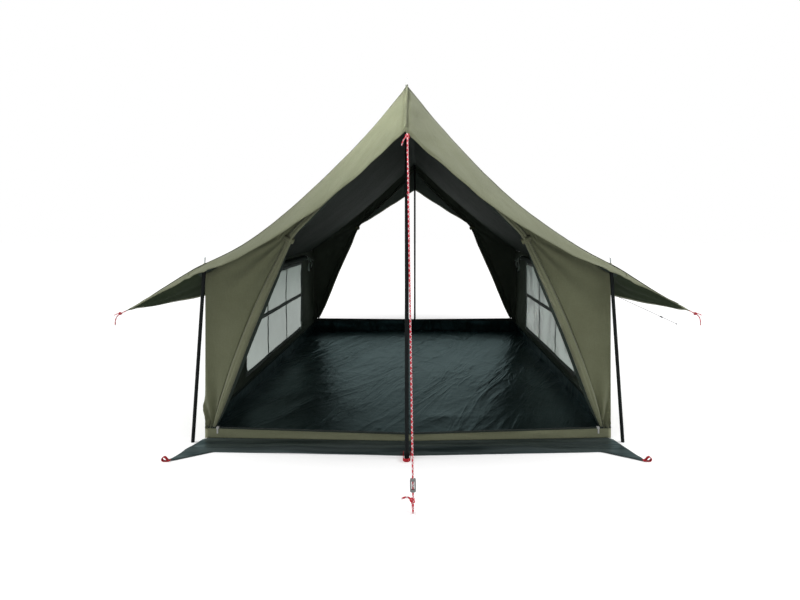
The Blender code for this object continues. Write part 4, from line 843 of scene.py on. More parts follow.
def wall_out(side, y, z):
    """How far a side wall stands out at a place: its belly, its folds, nothing at its sewn edges."""
    belly = 0.010 * math.prod(max(0.0, math.sin(math.pi * share)) for share in (
        (y + WALL_REACH) / (2 * WALL_REACH), (z - WALL_FOOT) / (EAVE - WALL_FOOT)))
    folds = 0.008 * ripple(side * 1.3 + 2.0, y * 5.6, z * 3.4 + side)
    folds += 0.0028 * ripple(side, y * 15.0, z * 17.0)
    for corner_y in (low_y, high_y):
        for corner_z in (low_z, high_z):
            turn, gap = math.atan2(z - corner_z, y - corner_y), math.hypot(z - corner_z, y - corner_y)
            folds += float(fan(turn, gap, 7, corner_y, 0.22, 0.005, 0.03))
    inside = min(1.0, (z - WALL_FOOT) / 0.05, (EAVE - z) / 0.05, (WALL_REACH - abs(y)) / 0.05)
    return side * (HALF_WIDTH + belly + folds * max(0.0, inside) + (0.0022 if z < WALL_FOOT else 0.0))

for side, side_name in SIDES:
    top_gaps = [under_roof(side * HALF_WIDTH, float(y), EAVE) - wall_z[-1] for y in wall_y]
    wall = np.array([[(wall_out(side, y, z), y,
                       z + top_gap * max(0.0, (z - high_z) / (wall_z[-1] - high_z)))
                      for y, top_gap in zip(wall_y, top_gaps)] for z in wall_z])
    wall = wall if side > 0 else wall[:, ::-1]
    mids_y, mids_z = (wall[0, 1:, 1] + wall[0, :-1, 1]) / 2, (wall_z[1:] + wall_z[:-1]) / 2
    hole = np.outer((mids_z > low_z) & (mids_z < high_z), (mids_y > low_y) & (mids_y < high_y))
    piece = cloth("wall_" + side_name, wall, CANVAS_OUT, LIT_WALL_IN, "canvas", holes=hole)
    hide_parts("side_wall_" + side_name)
    print(piece.name, round(grid_area(wall), 2), "m2 before the window is cut")

# %% [markdown]
# ## Windows
# Each window is mosquito net, framed and crossed by dark tape. The net billows a little between its
# tapes. The tapes are thin bands on both faces of the net, with their stitches close to the edges.

# %% Net and tapes
TAPE_INSET, TAPE_PAST = 0.007, 0.004
rail = mix(low_z, high_z, 0.51)
tape_runs = [((low_y - TAPE_PAST, z), (high_y + TAPE_PAST, z), 0.030, 0.0026)
             for z in (low_z + TAPE_INSET, high_z - TAPE_INSET)]
tape_runs += [((y, low_z - TAPE_PAST), (y, high_z + TAPE_PAST), 0.030, 0.0030)
              for y in (low_y + TAPE_INSET, high_y - TAPE_INSET)]
tape_runs += [((low_y, rail), (high_y, rail), 0.034, 0.0024)]
tape_runs += [((bar, low_z), (bar, high_z), 0.016, 0.0022)
              for bar in (mix(low_y, high_y, share) for share in (0.32, 0.65))]

def flat_tape(side, start, end, width, lift, steps=24):
    """Sections of a tape on the window from start to end, both (y, z)."""
    start, end = Vector(start), Vector(end)
    along = (end - start).normalized()
    across = Vector((-along.y, along.x)) * width / 2
    sections = []
    for index in range(steps + 1):
        section = []
        for share, out in ((1.0, -lift), (1.0, lift), (-1.0, lift), (-1.0, -lift), (1.0, -lift)):
            y, z = start.lerp(end, index / steps) + across * share
            section.append((wall_out(side, y, z) + out, y, z))
        sections.append(section)
    return sections

for side, side_name in SIDES:
    net = np.array([[(wall_out(side, y, z), y, z) for y in np.linspace(low_y, high_y, 49)]
                    for z in np.linspace(low_z, high_z, 25)])
    net[..., 0] += wrinkle(net, 0.003, 9.0, 7.0 + side)
    piece = cloth("window_net_" + side_name, net, NET, NET, "window_net", thickness=0)
    frame_piece = ribbon("window_tapes_" + side_name, [flat_tape(side, *run) for run in tape_runs],
                         TAPE_HEM, "window_net", [0.0, 0.0, 1.0, 1.0, 0.0])
    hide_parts("window_" + side_name)
    "wall_" + side_name
    print(piece.name, "and", frame_piece.name)

# %% [markdown]
# ## Rolled curtains
# Over each window a canvas curtain is rolled up inside and tied near the rear. A roll of cloth isn't a
# cylinder: its section is a spiral, its edge lies as a step along it, and the tie pinches it. The roll
# is lofted from such sections, with noise that squeezes it here and there.

# %% Sections of a roll and of its tie
CURTAIN_X, CURTAIN_Z, CURTAIN_R = HALF_WIDTH - 0.0303, EAVE - 0.057, 0.0255
curtain_start, curtain_end = low_y - 0.10, high_y + 0.10
tie_y = curtain_end - 0.05
BAND_HALF, BAND_THICK, CLOTH_STEP = 0.011, 0.0016, 0.0016

def curtain_section(side, y):
    """The rolled curtain's outline at y: a spiral with a step, pinched by the tie."""
    pinch = 1 - 0.16 * math.exp(-((y - tie_y) / 0.022) ** 2)
    ends = min(1.0, 0.80 + min(y - curtain_start, curtain_end - y) / 0.03 * 0.2)
    middle_z = CURTAIN_Z - 0.004 * hang((y - curtain_start) / (curtain_end - curtain_start))
    section = []
    for index in range(36):
        turn = math.tau * index / 36
        step = CLOTH_STEP * ((index / 36 + 0.15 * math.sin(y * 2.0)) % 1.0)
        swell = 1 + 0.07 * ripple(math.cos(turn) * 0.8, y * 5.0, math.sin(turn) * 0.8 + side * 4)
        radius = (CURTAIN_R * swell - CLOTH_STEP + step) * pinch * ends
        section.append((side * (CURTAIN_X - radius * math.cos(turn)), y,
                        middle_z + radius * math.sin(turn) * side))
    return section

def curtain_tail(side, drop, lean, spread):
    """A loose end of the curtain's tie, from the roll down."""
    sections = []
    for share in (index / 10 for index in range(11)):
        inwards = CURTAIN_X - CURTAIN_R * 0.93 - 0.004 - lean * math.sin(share * 2.2)
        middle = Vector((side * inwards, tie_y + spread * share, CURTAIN_Z + 0.004 - drop * share))
        middle += Vector((-side * 0.006 * math.sin(share * 7 + drop * 40),
                          0.005 * math.sin(share * 5 + drop * 60), 0))
        wide = 0.010 + 0.009 * share
        half, thick = Vector((side * wide * 0.75, wide * 0.66, 0)), Vector((side * 0.0008, 0.0010, 0))
        sections.append([middle - half, middle - thick, middle + half, middle + thick, middle - half])
    return sections

print("curtain:", round(curtain_end - curtain_start, 2), "m long, tied", round(tie_y, 2), "m back")

# %% [markdown]
# Each roll is closed at its ends. The tie is one band round it, with four loose ends of different
# lengths that hang from the knot.

# %% Rolled curtains with their ties
for side, side_name in SIDES:
    outline = np.array([curtain_section(side, y) for y in np.linspace(curtain_start, curtain_end, 90)])
    roll = cloth("curtain_roll_" + side_name, outline, CANVAS_IN, CANVAS_IN, "canvas", thickness=0,
                 closed=True)
    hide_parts("window_curtain_" + side_name)
    band, centre = [], Vector((side * CURTAIN_X, tie_y, CURTAIN_Z))
    for turn in (math.tau * index / 24 for index in range(25)):
        outwards = Vector((-math.cos(turn) * side, 0, math.sin(turn)))
        band.append([centre + outwards * (CURTAIN_R * 0.90 + 0.0012 + out) + Vector((0, step, 0))
                     for step, out in ((-BAND_HALF, 0), (-BAND_HALF, BAND_THICK),
                                       (BAND_HALF, BAND_THICK), (BAND_HALF, 0), (-BAND_HALF, 0))])
    tails = [curtain_tail(side, *run) for run in ((0.150, 0.016, -0.034), (0.115, 0.034, 0.026),
                                                  (0.050, 0.030, -0.052), (0.046, 0.034, 0.050))]
    tie = ribbon("curtain_tie_band_" + side_name, [band, *tails], TIE_HEM, "window_net",
                 [0.0, 0.5, 1.0, 0.5, 0.0])
    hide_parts("curtain_tie_" + side_name)
    print(roll.name, "and", tie.name)

# %% [markdown]
# ## Door walls
# Half of each door is a flat panel between the corner and the drawn door. It hangs from the roof's seam
# and leans out a little towards the upright. The drawn part is pulled back to a tie high on the roof
# seam, so it runs from the sill's corner up to the tie, bowed a little, and on along the seam to the
# apex.

# %% Where the drawn doors run
SILL_HEIGHT = {-1: 0.050, 1: 0.140}
TIE_X, TIE_DROP, DOOR_BOW, CORNER_SHARE = 0.70, 0.125, 0.028, 0.60
WIDTH_SHARES = ((0.0, 0.30), (0.06, 0.56), (0.14, 0.80), (0.30, 0.96), (0.60, 0.96), (0.80, 0.84),
                (0.90, 0.66), (1.0, 0.60))

def clamp(value):
    """The value, held between 0 and 1."""
    return max(0.0, min(1.0, value))

def gable_y(x, z=0.0):
    """How far out a door wall stands at a place."""
    return HALF_DEPTH + 0.003 + (0.047 + 0.15 * z / APEX) * (1 - abs(x) / HALF_WIDTH)

def gable_top(x, end):
    """The top of a door wall, just below the roof."""
    height = EAVE
    for _ in range(8):
        height = roof_height(x, gable_y(x, height), end)
    return height - 0.0065

def sill_top(x, end):
    """The top edge of a sill."""
    return SILL_HEIGHT[end] + 0.020 * abs(x) / HALF_WIDTH

def door_line(end):
    """Stations up the drawn door: place, direction across, half width, and the panel's far edge."""
    foot = Vector((HALF_WIDTH - 0.056, sill_top(HALF_WIDTH - 0.056, end) + 0.004))
    tie = Vector((TIE_X, gable_top(TIE_X, end) - TIE_DROP))
    along = (tie - foot).normalized()
    places, widths, outers = [], [], []
    for share in (float(share) for share in np.linspace(0, 1, 49)):
        if share <= CORNER_SHARE:
            outer_z = mix(sill_top(HALF_WIDTH, end), EAVE - 0.005, share / CORNER_SHARE)
            outers.append(Vector((HALF_WIDTH, outer_z)))
        else:
            x = mix(HALF_WIDTH, TIE_X + 0.03, (share - CORNER_SHARE) / (1 - CORNER_SHARE))
            outers.append(Vector((x, gable_top(x, end))))
        bow = Vector((along.y, -along.x)) * DOOR_BOW * math.sin(math.pi * share)
        places.append(foot.lerp(tie, share) + bow)
        widths.append(0.047 * float(np.interp(share, *zip(*WIDTH_SHARES))))
    for share in np.linspace(0, 1, 41)[1:]:
        x = float(mix(TIE_X - 0.02, 0.012, share))
        drop = mix(0.118, 0.100, min(1.0, share / 0.25)) * mix(1.0, 0.45, clamp((share - 0.75) / 0.25))
        outers.append(Vector((x, gable_top(x, end))))
        places.append(outers[-1] - Vector((0, drop)))
        widths.append(0.044 * mix(0.60, 0.42, share))
    steps = [after - before for before, after in zip([places[0], *places], [*places[1:], places[-1]])]
    across = [Vector((step.y, -step.x)).normalized() for step in steps]
    return list(zip(places, across, widths, outers))

print("drawn door's tie at", TIE_X, "m, height", round(gable_top(TIE_X, -1) - TIE_DROP, 3))

# %% [markdown]
# The drawn cloth is one broad roll with a soft groove in it, and a narrow strip of its lining is turned
# out on the side of the opening. The same section is lofted along the whole line, so each fold keeps
# its place from the sill to the apex.

# %% Grids of the doors and panels
PLEATS = ((-1.04, -0.44), (-0.90, -0.36), (-0.76, -0.38), (-0.60, -0.26), (-0.64, -0.02),
          (-0.68, 0.24), (-0.63, 0.54), (-0.51, 0.78), (-0.37, 0.92), (-0.22, 0.86), (-0.11, 0.74),
          (0.00, 0.76), (0.12, 0.82), (0.25, 0.72), (0.36, 0.50), (0.45, 0.24), (0.52, -0.02),
          (0.59, -0.24), (0.66, -0.40))
LINING_COLUMNS, TIE_STATION, ROOF_STATION = 3, 46, 27
panel_shares = np.linspace(0, 1, 26)

def pleated(end, side):
    """The drawn door as a grid: rows follow the line, columns go over its rolls and its groove."""
    stations, rows = door_line(end), []
    for index, (place, normal, half_width, _) in enumerate(stations):
        run = index / len(stations)
        pinch = math.exp(-((index - TIE_STATION) / 5) ** 2)
        row = []
        for column, (across, out) in enumerate(PLEATS):
            drift = 0.07 * ripple(column * 0.35, run * 5.0, side + 3.0 * end)
            swell = 1 + 0.30 * ripple(column * 0.22 + 9.0, run * 7.0, 2.0 * side + end)
            flat = place + normal * half_width * (mix(across, max(across, -0.64), pinch) + drift)
            depth = half_width * 0.74 * out * swell
            row.append((side * flat.x, end * (gable_y(flat.x, flat.y) + depth), flat.y))
        rows.append(row)
    return np.array(rows)

def panel_grid(end, side):
    """The flat panel beside the drawn door, and the strip above it up to the apex."""
    rows = []
    for index, (place, normal, half_width, outer) in enumerate(door_line(end)):
        inner = place + normal * half_width * 0.55
        if index >= ROOF_STATION:
            top_y = end * gable_y(outer.x, outer.y)
            outer = Vector((outer.x, under_roof(side * outer.x, top_y, outer.y)))
        if index == 0:
            outer, inner = outer - Vector((0, 0.010)), inner - Vector((0, 0.012))
        flats = (outer.lerp(inner, share) for share in panel_shares)
        rows.append([(side * flat.x, end * gable_y(flat.x, flat.y), flat.y) for flat in flats])
    return np.array(rows)

def panel_folds(grid, end, side):
    """Folds that fan out from the tie and from the zip's foot, and soft creases."""
    tie_gap = grid - (side * TIE_X, end * gable_y(TIE_X, 1.3), gable_top(TIE_X, end) - 0.12)
    foot_gap = grid - (side * (HALF_WIDTH - 0.055), end * HALF_DEPTH, SILL_HEIGHT[end] - 0.005)
    folds = fan(np.arctan2(tie_gap[..., 2], tie_gap[..., 0] * side), np.linalg.norm(tie_gap, axis=2),
                22, 1.0 * side, 0.60, 0.009, 0.08)
    folds += fan(np.arctan2(foot_gap[..., 0] * -side, foot_gap[..., 2]),
                 np.linalg.norm(foot_gap, axis=2), 17, 2.0 * side, 0.25, 0.018, 0.05)
    folds += wrinkle(grid, 0.010, 3.0, 11.0 + side + end, (1.6, 1, 0.7))
    return folds + wrinkle(grid, 0.0015, 13.0, 6.0)

print("a drawn door:", len(door_line(-1)), "stations long,", len(PLEATS), "places across")

# %% [markdown]
# Each corner of the tent gets one panel and one drawn door. The four are mirror images with their own
# folds, and the panel at the front left hangs a little slack near its foot.

# %% Panels and drawn doors
for end, end_name in ENDS:
    for side, side_name in SIDES:
        grid = panel_grid(end, side)
        flat_area = grid_area(grid)
        grid[..., 1] += end * panel_folds(grid, end, side) * np.clip(panel_shares / 0.12, 0, 1)
        if end < 0 and side < 0:
            low_down = np.exp(-((grid[..., 2] - 0.185) / 0.045) ** 2)
            grid[..., 0] -= 0.016 * low_down * np.clip(1 - panel_shares / 0.30, 0, 1) ** 2
        mirrored = side * end > 0
        piece = cloth(f"panel_{end_name}_{side_name}", grid if mirrored else grid[:, ::-1],
                      CANVAS_OUT, LIT_WALL_IN, "canvas")
        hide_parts(f"{end_name}_panel_{side_name}")

        drawn = pleated(end, side)
        drawn_area = grid_area(drawn)
        door = cloth(f"drawn_door_{end_name}_{side_name}", drawn[:, ::-1] if mirrored else drawn,
                     LIT_AND_SHADED_DOOR_CANVAS, LIT_WALL_IN, "canvas", fine=1)
        strips = len(PLEATS) - 1
        lining = {strips - 1 - column if mirrored else column for column in range(LINING_COLUMNS)}
        second_finish(door, CANVAS_IN, LIT_AND_SHADED_DOOR_CANVAS, lambda face: face.index % strips in lining)
        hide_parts(f"{end_name}_door_{side_name}")
        print(piece.name, round(flat_area, 2), "m2;", door.name, round(drawn_area, 2), "m2")

# %% [markdown]
# ## Ties of the drawn doors
# A band of the same canvas holds each drawn door against the panel. It goes once round the roll, so
# its section is the band's and its path is a flattened ring.

# %% Bands round the drawn doors
TIE_HALF = 0.017
BAND_SECTION = ((-TIE_HALF, 0.0), (-TIE_HALF, 0.0018), (0.0, 0.0026), (TIE_HALF, 0.0018),
                (TIE_HALF, 0.0), (-TIE_HALF, 0.0))
for end, end_name in ENDS:
    stations = door_line(end)
    below, tie = stations[43][0], stations[48][0]
    along = (tie - below).normalized()
    across = Vector((along.y, -along.x))
    middle = tie - along * 0.038
    for side, side_name in SIDES:
        band = []
        for turn in (math.tau * index / 40 for index in range(41)):
            squeeze = 1 + 0.05 * math.sin(5 * turn)
            wide, deep = 0.0290 * squeeze * math.cos(turn), 0.0165 * squeeze * math.sin(turn)
            section = []
            for step, out in BAND_SECTION:
                grow = 1 + out / 0.02
                flat = middle + along * step + across * wide * grow
                section.append((side * flat.x, end * (gable_y(flat.x, flat.y) + deep * grow), flat.y))
            band.append(section)
        piece = ribbon(f"door_band_{end_name}_{side_name}", [band], HEM_OUT, "canvas",
                       [0.0, 0.1, 0.5, 0.9, 1.0, 1.0])
        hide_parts(f"{end_name}_door_tie_{side_name}")
print("four bands round the drawn doors")

# %% [markdown]
# ## Sills and their zips
# Across each doorway a strip of canvas stands up from the ground. The door zips onto its top edge, so
# the edge carries a coil zip: a narrow dark tape with a row of fine teeth. The teeth are cut into the
# finish, because at 1.5 mm each there would be two thousand of them.

# %% Sills with their coil zips
CLOTH_REACH, TOOTH_PITCH = HALF_WIDTH + 0.0015, 0.0016
COIL_SECTION = ((-0.0030, -0.009), (-0.0034, -0.001), (-0.0016, 0.0012), (0.0016, 0.0012),
                (0.0034, -0.001), (0.0030, -0.009))

def coil_finish():
    """A dark zip tape with a line of teeth in its middle."""
    finish = Finish("zip_coil", base=TAPE)
    dark = finish.blend(0.72, finish.now("Base Color"), (0.010, 0.013, 0.010))
    uv = finish.place(source="UV")
    teeth = (uv.axis(0) * (math.tau / TOOTH_PITCH)).math("SINE").math("GREATER_THAN", -0.3)
    tooth = teeth * (uv.axis(1) - 0.5).math("ABSOLUTE").math("LESS_THAN", 0.16)
    finish.set(Base_Color=finish.blend(tooth, dark, (0.028, 0.030, 0.026)))
    finish.bump(tooth, 0.9, 0.0012)
    return finish.material

COIL = coil_finish()
for end, end_name in ENDS:
    sill = np.array([[(x, end * gable_y(x), mix(0.0, sill_top(x, end), share))
                      for x in np.linspace(-CLOTH_REACH, CLOTH_REACH, 121)]
                     for share in np.linspace(0, 1, 9)])
    fade = np.clip((CLOTH_REACH - np.abs(sill[..., 0])) / 0.06, 0, 1)
    fade *= np.sin(np.pi * np.clip(sill[..., 2] / sill[-1:, :, 2], 0, 1)) ** 1.2
    ruffle = wrinkle(sill, 0.0065, 3.2, 15.0 + end, (1, 1, 5.0)) + wrinkle(sill, 0.002, 17.0, 4.0)
    sill[..., 1] += end * np.clip(ruffle, -0.0020, 0.0026) * fade
    piece = cloth("sill_" + end_name, sill[:, ::-1] if end > 0 else sill, LIT_SILL_CANVAS, CANVAS_IN,
                  "canvas")
    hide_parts(end_name + "_sill")
    coil = [[(x, y + out, z + rise) for out, rise in COIL_SECTION] for x, y, z in sill[-1]]
    zip_piece = ribbon("zip_coil_" + end_name, [coil], COIL, "canvas", [0.0, 0.3, 0.42, 0.58, 0.7, 1.0])
    print(piece.name, "and", zip_piece.name)

# %% [markdown]
# ## Groundsheet
# The floor is a tray of thin laminate. It was folded small in its bag, so it keeps long soft ridges and
# a net of sharp little creases that catch the light from the far door. Wrinkles only go up: under it is
# the ground. The rim stands 10 cm up the side walls and follows each sill's height across the doorways.

# %% Ridges and rim of the floor
RIM_HEIGHT, FLOOR_REST = 0.10, 0.0012

def crest(width, *place):
    """A ridge where noise crosses zero: 1 on its crest, 0 where it ends."""
    return max(0.0, 1 - abs(ripple(*place)) * width)

def crinkle(x, y, seed=0.0):
    """Ridges of a laminate floor, always upwards: long slanting creases, a crackle where it is loose."""
    u, v = x * 0.42 + y * 0.91 + 0.05 * math.sin(5 * x), x * 0.91 - y * 0.42
    loose = clamp(0.60 - 0.62 * x + 0.32 * y + 0.9 * ripple(x * 0.9, y * 0.9, seed + 3.0))
    loose *= max(0.25, min(1.0, (x + 1.25) / 0.8)) * max(0.30, min(1.0, 0.75 + 0.5 * y))
    broad = crest(2.2, x * 1.4 + 4.2, y * 1.4, seed)
    long = crest(7.0, u * 1.3, v * 4.2, seed + 1.0)
    cross = crest(7.0, x * 3.4 + y * 2.2 + 2.0, y * 2.6 - x * 1.2, seed + 2.0)
    fine = crest(4.0, x * 8.0, y * 6.0 + 7.0, seed)
    return (0.0015 + 0.0030 * broad ** 2 + 0.0056 * loose * long ** 1.5
            + 0.0036 * loose * cross ** 1.5 + 0.0009 * fine ** 2)

def rim_height(x, end):
    """The top of the tray's rim across a doorway."""
    return mix(RIM_HEIGHT, SILL_HEIGHT[end] - 0.014, clamp((HALF_WIDTH - 0.003 - abs(x)) / 0.047))

def rim_point(x, y, share, sign, across):
    """A point of the rim at a share of its height, over the floor's edge at x and y."""
    out = abs(0.0012 * ripple(x * 9, y * 9, share * 3)
              + 0.016 * max(0.0, ripple(x * 2, y * 3.1, share * 1.2)) * math.sin(math.pi * share))
    if across:
        return x, y - sign * out, mix(FLOOR_REST, rim_height(x, sign), share)
    return x - sign * (0.0016 + out), y, mix(FLOOR_REST, RIM_HEIGHT, share)

print("floor's ridges at the middle:", round(crinkle(0.0, 0.0) * 1000, 1), "mm")

# %% [markdown]
# The tray is laid as a grid whose edges follow the walls and the sills. Its rim is grown from those
# edges in six steps with a sharp fold at the foot, and a stitched binding closes it to each wall.

# %% Floor tray
floor_x, floor_t = np.linspace(-CLOTH_REACH, CLOTH_REACH, 190), np.linspace(-1, 1, 220)
floor = []
for t in floor_t:
    row = []
    for x in floor_x:
        y = float(t) * (gable_y(x) - 0.004)
        from_rim = min(CLOTH_REACH - abs(x), (1 - abs(t)) * HALF_DEPTH)
        row.append((x, y, FLOOR_REST + crinkle(float(x), y) * clamp(from_rim / 0.05)))
    floor.append(row)
tray_shape = bmesh.new()
floor_points = lay_faces(tray_shape, floor, floor_t, floor_x)
rim_runs = [(floor_points[0], -1, True), (floor_points[-1], 1, True),
            ([row[0] for row in floor_points], -1, False), ([row[-1] for row in floor_points], 1, False)]
for foot_row, sign, across in rim_runs:
    before = foot_row
    for step in range(1, 7):
        now = [tray_shape.verts.new(rim_point(*point.co.xy, step / 6, sign, across))
               for point in foot_row]
        for index in range(len(foot_row) - 1):
            quad = (before[index], before[index + 1], now[index + 1], now[index])
            face = tray_shape.faces.new(quad if (sign > 0) == across else quad[::-1])
            face.smooth = True
            if step == 1:
                tray_shape.edges.get(before[index:index + 2]).smooth = False
        before = now
tray = new_piece("floor_tray", tray_shape, "groundsheet", SHEETING)
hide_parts("groundsheet")
binding = []
for side, _ in SIDES:
    line = []
    for y in np.linspace(-HALF_DEPTH + 0.002, HALF_DEPTH - 0.002, 90):
        x = side * (HALF_WIDTH - 0.0036 - 0.0008 * abs(ripple(side, y * 9, 0)))
        line.append([(x + side * 0.0020, y, 0.088), (x, y, 0.089), (x - side * 0.0006, y, 0.100),
                     (x, y, 0.111), (wall_out(side, y, 0.112) - side * 0.0002, y, 0.112)])
    binding.append(line)
rim_binding = ribbon("rim_binding", binding, HEM_IN, "groundsheet", [0.0, 0.1, 0.5, 0.9, 1.0])
print("floor tray:", len(tray.data.vertices), "points, with", rim_binding.name)

# %% [markdown]
# ## Aprons
# Before each doorway a strip of the same laminate lies on the ground, drawn out at both corners to a
# peg loop. It is a grid from the sill outwards, and its flare is where the two edges run together.

# %% Aprons
FLARE = (HALF_WIDTH + 0.065, HALF_DEPTH + 0.30)
APRON_GAP, APRON_DEPTH, FLARE_START = 0.0015, (0.188, 0.185), HALF_WIDTH - 0.13

def apron_outline(x):
    """The outer edge of an apron at x, and of its flare."""
    plain_x = min(abs(x), FLARE_START)
    plain = gable_y(plain_x) + APRON_GAP + mix(*APRON_DEPTH, plain_x / HALF_WIDTH)
    share = (abs(x) - FLARE_START) / (FLARE[0] - 0.011 - FLARE_START)
    return mix(plain, FLARE[1], clamp(share))

def apron_inner(x):
    """The inner edge of an apron, and of its flare past the wall's corner."""
    if abs(x) <= HALF_WIDTH:
        return gable_y(x) + 0.0020
    share = (abs(x) - HALF_WIDTH) / (FLARE[0] + 0.011 - HALF_WIDTH)
    return mix(HALF_DEPTH + 0.0050, FLARE[1], share)

flare_steps = np.linspace(0, 0.07, 9)
apron_xs = [*(-FLARE[0] - 0.010 + flare_steps), *np.linspace(-HALF_WIDTH, HALF_WIDTH, 131)[1:-1],
            *(FLARE[0] - 0.060 + flare_steps)]
for end, end_name in ENDS:
    rows = []
    for share in (float(share) for share in np.linspace(0, 1, 15)):
        row = []
        for x in (float(x) for x in apron_xs):
            y = mix(apron_inner(x), max(apron_outline(x), apron_inner(x) + 0.0015), share)
            rise = crinkle(x * 0.7, y * 1.1, 3.0 + end) * 0.5
            rise += 0.020 * max(0.0, ripple(x * 2.2, y * 13.0, 2.0 + end))
            row.append((x, end * y,
                        0.0014 + rise * min(1.0, share * 8) * min(1.0, (1 - share) * 6 + 0.25)))
        rows.append(row)
    grid = np.array(rows)
    apron_area = grid_area(grid)
    apron = cloth("apron_" + end_name, grid if end > 0 else grid[:, ::-1], HIGHLIGHT_STREAKED_APRON,
                  HIGHLIGHT_STREAKED_APRON, "groundsheet")
    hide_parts(end_name + "_apron")
    print(apron.name, round(apron_area, 2), "m2")

# %% [markdown]
# ## Webbing loops
# Each corner of an apron ends in a loop of red webbing for a peg: a strap that goes out, turns over and
# comes back on itself. The foot of the upright stands in a loop of its own on the apron's edge.

# %% Webbing loops
STRAP_WIDTH, STRAP_THICKNESS = 0.018, 0.0024
STRAP_SECTION = ((-1, 0.5), (-0.94, 1), (0.94, 1), (1, 0.5), (1, -0.5), (0.94, -1), (-0.94, -1),
                 (-1, -0.5), (-1, 0.5))
LOOP_START, LOOP_END = ((-0.012, 0.0034), (-0.003, 0.0016), (0.006, 0.0013), (0.014, 0.0013)), (
    (0.0120, 0.0210), (0.0055, 0.0130), (-0.001, 0.0074), (-0.008, 0.0062), (-0.015, 0.0064))
FOOT_HALF, FOOT_REACH, FOOT_ROUND = 0.02025, 0.074, 0.0215

def strap(name, path, width_step):
    """A flat strap along a path, with its width along one direction."""
    path, wide, sections = [Vector(point) for point in path], width_step / 2, []
    for index, point in enumerate(path):
        along = (path[min(index + 1, len(path) - 1)] - path[max(index - 1, 0)]).normalized()
        up = along.cross(width_step).normalized() * STRAP_THICKNESS / 2
        sections.append([point + wide * across + up * rise for across, rise in STRAP_SECTION])
    return ribbon(name, [sections], WEBBING, "webbing",
                  [0.0, 0.05, 0.95, 1.0, 1.0, 0.95, 0.05, 0.0, 0.0])

for end, end_name in ENDS:
    for side, side_name in SIDES:
        turns = np.linspace(-math.pi / 2, math.pi / 2, 13)
        bend = [(0.0205 + 0.0120 * math.cos(t), 0.0134 + 0.0120 * math.sin(t)) for t in turns]
        points = [(side * (FLARE[0] + 0.0113 + x), end * FLARE[1], z)
                  for x, z in (*LOOP_START, *bend, *LOOP_END)]
        loop = strap(f"webbing_loop_{end_name}_{side_name}", points, Vector((0, STRAP_WIDTH, 0)))
        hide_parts(f"{end_name}_peg_loop_{side_name}")
    start = gable_y(0.0) + APRON_GAP + APRON_DEPTH[0]
    middle = start + FOOT_REACH - FOOT_ROUND
    leg = [(FOOT_HALF, start + step) for step in (-0.022, 0.0, 0.020)]
    ring = leg + [(FOOT_HALF * math.cos(turn), middle + FOOT_HALF * math.sin(turn))
                  for turn in np.linspace(0, math.pi, 17)] + [(-x, y) for x, y in leg[::-1]]
    loop = strap("webbing_foot_loop_" + end_name, [(x, end * y, 0.0100) for x, y in ring],
                 Vector((0, 0, STRAP_WIDTH)))
    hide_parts(end_name + "_foot_loop")
print("six loops of webbing")

# %% [markdown]
# ## Poles, zips and fittings
# Rigid parts keep the frame's own solids, because their shape is right. Only their finish changes. A
# pole's spike is bare zinc above the black tube, so its finish changes with height on the pole.

# %% Finishes on the rigid parts
def spiked_pole(name, height):
    """Black enamel below a height, bare zinc above it."""
    finish = Finish(name, base=POLE)
    above = finish.place().axis(2).math("GREATER_THAN", height)
    zinc = finish.ramp(finish.blotches(finish.place(), 200.0, 3.0), (0.3, (0.42, 0.43, 0.44)),
                       (0.7, (0.58, 0.59, 0.60)))
    finish.set(Base_Color=finish.blend(above, finish.now("Base Color"), zinc), Metallic=above)
    return finish.material

rigid_finishes = {"pole_lower": POLE, "pole_upper": spiked_pole("upright_enamel", APEX - 0.013),
                  "corner_pole": spiked_pole("corner_pole_enamel", PEAK[2] - 0.013), "zip_slider": ZIP,
                  "zip_pull": ZIP, "guyline_slider": SLIDER, "guyline_toggle": TOGGLE}
finished = [(node, finish) for node_name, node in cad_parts.items()
            for key, finish in rigid_finishes.items() if key in node_name]
for node, finish in finished:
    for slot in node.material_slots:
        slot.material = finish
    if not node.material_slots:
        node.data.materials.append(finish)
print("finished", len(finished), "rigid parts")

# %% [markdown]
# ## Eyelets
# A rolled brass eyelet is a ring pressed flat against the cloth round each spike and cord hole. A ring
# with a half-round section, set square to the cloth, is enough at this size.

# %% Brass eyelets
EYELET_RADIUS, EYELET_RIM = 0.0057, 0.0022

def eyelet(x, y, z):
    """A level ring with a rounded section."""
    axis = Vector((0, 0, 1))
    across = axis.orthogonal().normalized()
    third = axis.cross(across)
    sections = []
    for turn in (math.tau * index / 24 for index in range(25)):
        outwards = across * math.cos(turn) + third * math.sin(turn)
        sections.append([Vector((x, y, z)) + outwards * (EYELET_RADIUS + EYELET_RIM * math.cos(angle))
                         + axis * EYELET_RIM * 0.9 * math.sin(angle)
                         for angle in np.linspace(0, math.tau, 9)])
    return sections

rings = []
for end, _ in ENDS:
    rings.append(eyelet(0, end * UPRIGHT_Y, APEX + 0.001))
    rings += [eyelet(side * PEAK[0], end * PEAK[1], PEAK[2] + 0.001) for side, _ in SIDES]
eyelets = ribbon("brass_eyelets", rings, BRASS, "zip_metal")
print(eyelets.name + ":", len(rings))

# %% [markdown]
# ## Floor, light and background
# The photograph is a cut-out on white, lit softly. Two wide soft banks stand at the sides, a small lamp
# lights the visor, and a plain pale world fills the rest. The floor and the world are white to the
# camera and to reflections. The floor's own white grows with its distance from the tent, so it keeps a
# faint shadow and melts into the background.

